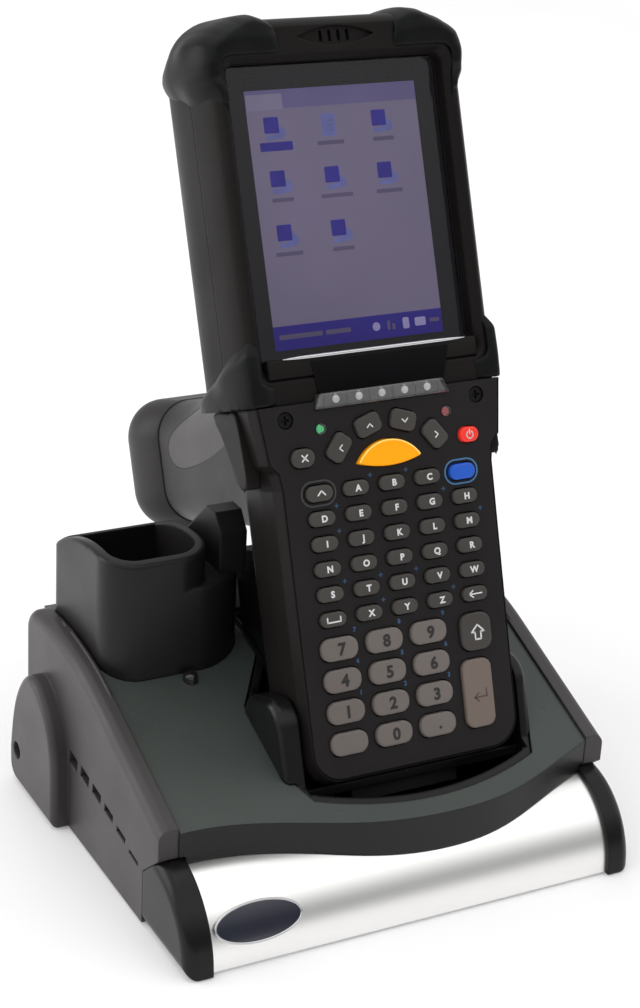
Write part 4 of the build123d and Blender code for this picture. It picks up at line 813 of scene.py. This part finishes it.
def sculpted_boots():
    """The rubber boots, remeshed finely and shaped like soft mouldings."""
    bm = bmesh.new()
    bm.from_mesh(frame["nodes"]["corner_boots"].data)
    bmesh.ops.remove_doubles(bm, verts=bm.verts, dist=0.01 * MM)
    mesh = bpy.data.meshes.new("boots_source")
    bm.to_mesh(mesh)
    bm.free()
    source = bpy.data.objects.new("boots_source", mesh)
    bpy.context.scene.collection.objects.link(source)
    remesh = source.modifiers.new("remesh", "REMESH")
    remesh.mode = "VOXEL"
    remesh.voxel_size = VOXEL * MM
    soften = source.modifiers.new("soften", "SMOOTH")
    soften.factor = 0.5
    soften.iterations = 4
    bpy.context.view_layer.update()
    fine = bpy.data.meshes.new_from_object(source.evaluated_get(bpy.context.evaluated_depsgraph_get()))
    bpy.data.objects.remove(source)

    co = np.empty(len(fine.vertices) * 3)
    fine.vertices.foreach_get("co", co)
    co = co.reshape(-1, 3)
    moved = co + boot_shift(head.measure(co)) @ np.array([head.u, head.v, head.w]) * MM
    moved[:, 2] = np.minimum(moved[:, 2], cad_box[1][2] - CEILING_GAP * MM)
    fine.vertices.foreach_set("co", moved.ravel())
    bm = bmesh.new()
    bm.from_mesh(fine)
    for _ in range(2):
        bmesh.ops.smooth_vert(bm, verts=bm.verts, factor=0.5,
                              use_axis_x=True, use_axis_y=True, use_axis_z=True)
    boots = piece("corner_boots_soft", bm, "terminal", FINISHES["boot_rubber"])
    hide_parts("corner_boots")


TONGUE = ((-16.6, -17.5), (-16.6, -6), (-18, -1.4), (-37.2, 1.0), (-39.2, -1.6), (-38.6, -5.0), (-31, -8.8),
          (-23, -13.2))
TONGUE_FOOT = 40.0           # from the terminal's middle plane
TONGUE_HEIGHT = 3.6


def add_shoulders():
    """Tapered tongue on each flank of the keypad's shoulder, drawn in (v, w)."""
    outline = curve_through(TONGUE)
    for side, word in ((-1, "left"), (1, "right")):
        place = Matrix((head.v, head.w, head.u * side)).transposed().to_4x4() @ Matrix.Scale(MM, 4)
        place.translation = head.at(side * TONGUE_FOOT, 0, 0)
        bm = bmesh.new()
        add_plate(bm, outline, -1.0, TONGUE_HEIGHT, place, bevel=0.9)
        piece(f"shoulder_tongue_{word}", bm, "terminal", FINISHES["head_plastic"])


# ---------------------------------------------------------------- cradle trim


BADGE_LIFT = 0.95            # of the badge's face over the bar
BADGE_BEAD = 0.38
PANEL_BEAD = 0.6


def add_badge_rim():
    """Bright bead round the oval plate on the curved bar."""
    low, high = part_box("front_bar")
    axis_y, axis_z = low.y + BAR_RADIUS * MM, high.z - BAR_RADIUS * MM
    badge = points_of("badge_plate")
    middle_x = (badge[:, 0].max() + badge[:, 0].min()) / 2
    shell = BAR_RADIUS + BADGE_LIFT
    path = []
    for k in range(72):
        t = math.tau * k / 72
        x = middle_x + BADGE_SIZE[0] / 2 * math.cos(t) * MM
        angle = math.radians(BADGE_ANGLE) - math.asin(BADGE_SIZE[1] / 2 * math.sin(t) / shell)
        path.append((x, axis_y + shell * math.cos(angle) * MM, axis_z + shell * math.sin(angle) * MM))
    bm = bmesh.new()
    add_tube(bm, path, BADGE_BEAD * MM, closed=True)
    piece("badge_rim", bm, "cradle", TRIM["chrome"])


def add_panel_beads():
    """Fine bead along the upper inner edge of each side panel, where it meets the cover."""
    for node in ("left_side_panel", "right_side_panel"):
        points = points_of(node)
        side = 1 if points[:, 0].mean() > 0 else -1
        inner = np.abs(points[:, 0]).min()
        edge = points[np.abs(points[:, 0]) < inner + 0.4 * MM]
        rows = []
        for y in np.arange(edge[:, 1].min(), edge[:, 1].max(), 2 * MM):
            near = edge[np.abs(edge[:, 1] - y) < 1.2 * MM]
            if len(near):
                rows.append(near[near[:, 2].argmax()])
        rows = np.array(rows)
        ys = np.arange(rows[:, 1].min() + 1 * MM, rows[:, 1].max() - 8 * MM, 2.5 * MM)
        zs = np.interp(ys, rows[:, 1], rows[:, 2])
        path = [(side * (inner + 0.9 * MM), y, z - 0.1 * MM) for y, z in zip(ys, zs)]
        bm = bmesh.new()
        add_tube(bm, path, PANEL_BEAD * MM, sides=8)
        piece(f"bead_{node}", bm, "cradle", FINISHES["panel_plastic"])


# ---------------------------------------------------------------- camera, light and floor

# The camera's place is given from the middle of the display's lower edge, in millimetres.
CAMERA_FROM_DISPLAY = Vector((-315.32, -553.58, 221.84))
CAMERA_TURN, CAMERA_DIP, CAMERA_ROLL = (math.radians(a) for a in (28.83, 23.43, 3.26))
CAMERA_LENS = 79.53
LIGHT_AIM = Vector((0, 0, 0.1))


def add_camera():
    level = math.cos(CAMERA_DIP)
    forward = Vector((math.sin(CAMERA_TURN) * level, math.cos(CAMERA_TURN) * level, -math.sin(CAMERA_DIP)))
    right = Vector((math.cos(CAMERA_TURN), -math.sin(CAMERA_TURN), 0))
    up = right.cross(forward)
    c, s = math.cos(CAMERA_ROLL), math.sin(CAMERA_ROLL)
    rolled_right = c * right + s * up
    rolled_up = c * up - s * right
    data = bpy.data.cameras.new("camera")
    data.sensor_fit = "VERTICAL"
    data.sensor_height = 36
    data.lens = CAMERA_LENS
    data.clip_start = 0.01
    data.clip_end = 50
    camera = bpy.data.objects.new("camera", data)
    place = Matrix((rolled_right, rolled_up, -forward)).transposed().to_4x4()
    place.translation = head.origin + CAMERA_FROM_DISPLAY * MM
    camera.matrix_world = place
    bpy.context.scene.collection.objects.link(camera)
    bpy.context.scene.camera = camera


def add_area_light(name, place, size, power):
    """Soft lamp, turned towards the middle of the object."""
    data = bpy.data.lights.new(name, "AREA")
    data.shape = "RECTANGLE"
    data.size, data.size_y = size
    data.energy = power
    light = bpy.data.objects.new(name, data)
    light.location = place
    light.rotation_euler = (LIGHT_AIM - Vector(place)).to_track_quat("-Z", "Y").to_euler()
    bpy.context.scene.collection.objects.link(light)


# Brightness of the studio by its angle over the front: 0 the front horizon, 0.5 overhead, 1 the rear horizon.
STUDIO = ((0.0, 0.5), (0.05, 0.26), (0.1, 0.26), (0.17, 0.7), (0.26, 1.35), (0.45, 1.2), (0.62, 1.0),
          (0.8, 0.7), (1.0, 0.5))
FLOOR_HALF = 6.0
FLOOR_TONES = ((0.80, 0.79, 0.80), (0.84, 0.83, 0.84))
FLOOR_GLOW = 0.16            # seen by the camera and in reflections only


def add_world():
    """Soft studio with a dark band low at its front, white where the camera sees it."""
    world = bpy.data.worlds.new("studio")
    bpy.context.scene.world = world
    world.use_nodes = True
    tree = world.node_tree
    link = tree.links.new
    background = tree.nodes["Background"]
    coordinates = add_node(tree, "ShaderNodeTexCoord")
    split = add_node(tree, "ShaderNodeSeparateXYZ")
    link(coordinates.outputs["Generated"], split.inputs["Vector"])
    forward = add_node(tree, "ShaderNodeMath", operation="MULTIPLY")
    forward.inputs[1].default_value = -1.0
    link(split.outputs["Y"], forward.inputs[0])
    angle = add_node(tree, "ShaderNodeMath", operation="ARCTAN2")
    link(split.outputs["Z"], angle.inputs[0])
    link(forward.outputs[0], angle.inputs[1])
    share = add_node(tree, "ShaderNodeMapRange", **{"From Min": 0.0, "From Max": math.pi})
    link(angle.outputs[0], share.inputs["Value"])
    ramp = add_node(tree, "ShaderNodeValToRGB")
    link(share.outputs["Result"], ramp.inputs["Fac"])
    stops = ramp.color_ramp.elements
    while len(stops) < len(STUDIO):
        stops.new(0.5)
    for stop, (position, level) in zip(stops, STUDIO):
        stop.position = position
        stop.color = (level, level, level, 1)
    path = add_node(tree, "ShaderNodeLightPath")
    white = add_node(tree, "ShaderNodeMix", data_type="RGBA")
    white.inputs[7].default_value = (1, 1, 1, 1)
    link(path.outputs["Is Camera Ray"], white.inputs["Factor"])
    link(ramp.outputs["Color"], white.inputs[6])
    link(white.outputs[2], background.inputs["Color"])
    background.inputs["Strength"].default_value = 1.0


def add_floor():
    """Pale floor that keeps the object's shadow."""
    mesh = bpy.data.meshes.new("floor")
    corners = [(x * FLOOR_HALF, y * FLOOR_HALF, 0) for x, y in ((-1, -1), (1, -1), (1, 1), (-1, 1))]
    mesh.from_pydata(corners, [], [(0, 1, 2, 3)])
    floor = bpy.data.objects.new("floor", mesh)
    floor.location.z = cad_box[0][2]
    bpy.context.scene.collection.objects.link(floor)
    material = bpy.data.materials.new("floor_white")
    material.use_nodes = True
    tree = material.node_tree
    link = tree.links.new
    shader = tree.nodes["Principled BSDF"]
    coordinates = add_node(tree, "ShaderNodeTexCoord")
    cloud = add_node(tree, "ShaderNodeTexNoise", Scale=3.0, Detail=3.0)
    link(coordinates.outputs["Object"], cloud.inputs["Vector"])
    link(two_tones(tree, cloud.outputs["Fac"], *FLOOR_TONES), shader.inputs["Base Color"])
    shader.inputs["Roughness"].default_value = 0.6
    path = add_node(tree, "ShaderNodeLightPath")
    seen = path.outputs["Is Camera Ray"]
    for ray in ("Is Glossy Ray", "Is Transmission Ray"):
        either = add_node(tree, "ShaderNodeMath", operation="MAXIMUM")
        link(seen, either.inputs[0])
        link(path.outputs[ray], either.inputs[1])
        seen = either.outputs[0]
    glow = add_node(tree, "ShaderNodeMath", operation="MULTIPLY")
    glow.inputs[1].default_value = FLOOR_GLOW
    link(seen, glow.inputs[0])
    shader.inputs["Emission Color"].default_value = (1, 1, 1, 1)
    link(glow.outputs[0], shader.inputs["Emission Strength"])
    mesh.materials.append(material)


add_legends()
add_symbols()
add_key_rings_and_highlight()
add_frame_marks()
add_lamps()
add_screen()
add_chin()
sculpted_boots()
add_shoulders()
add_badge_rim()
add_panel_beads()
add_camera()
add_world()
add_floor()
add_area_light("key_left", (-1.1, 0.6, 0.5), (0.9, 0.9), 7)
add_area_light("overhead", (-0.1, 0.35, 1.5), (1.3, 1.1), 2.5)
bpy.context.scene.view_settings.view_transform = "Standard"
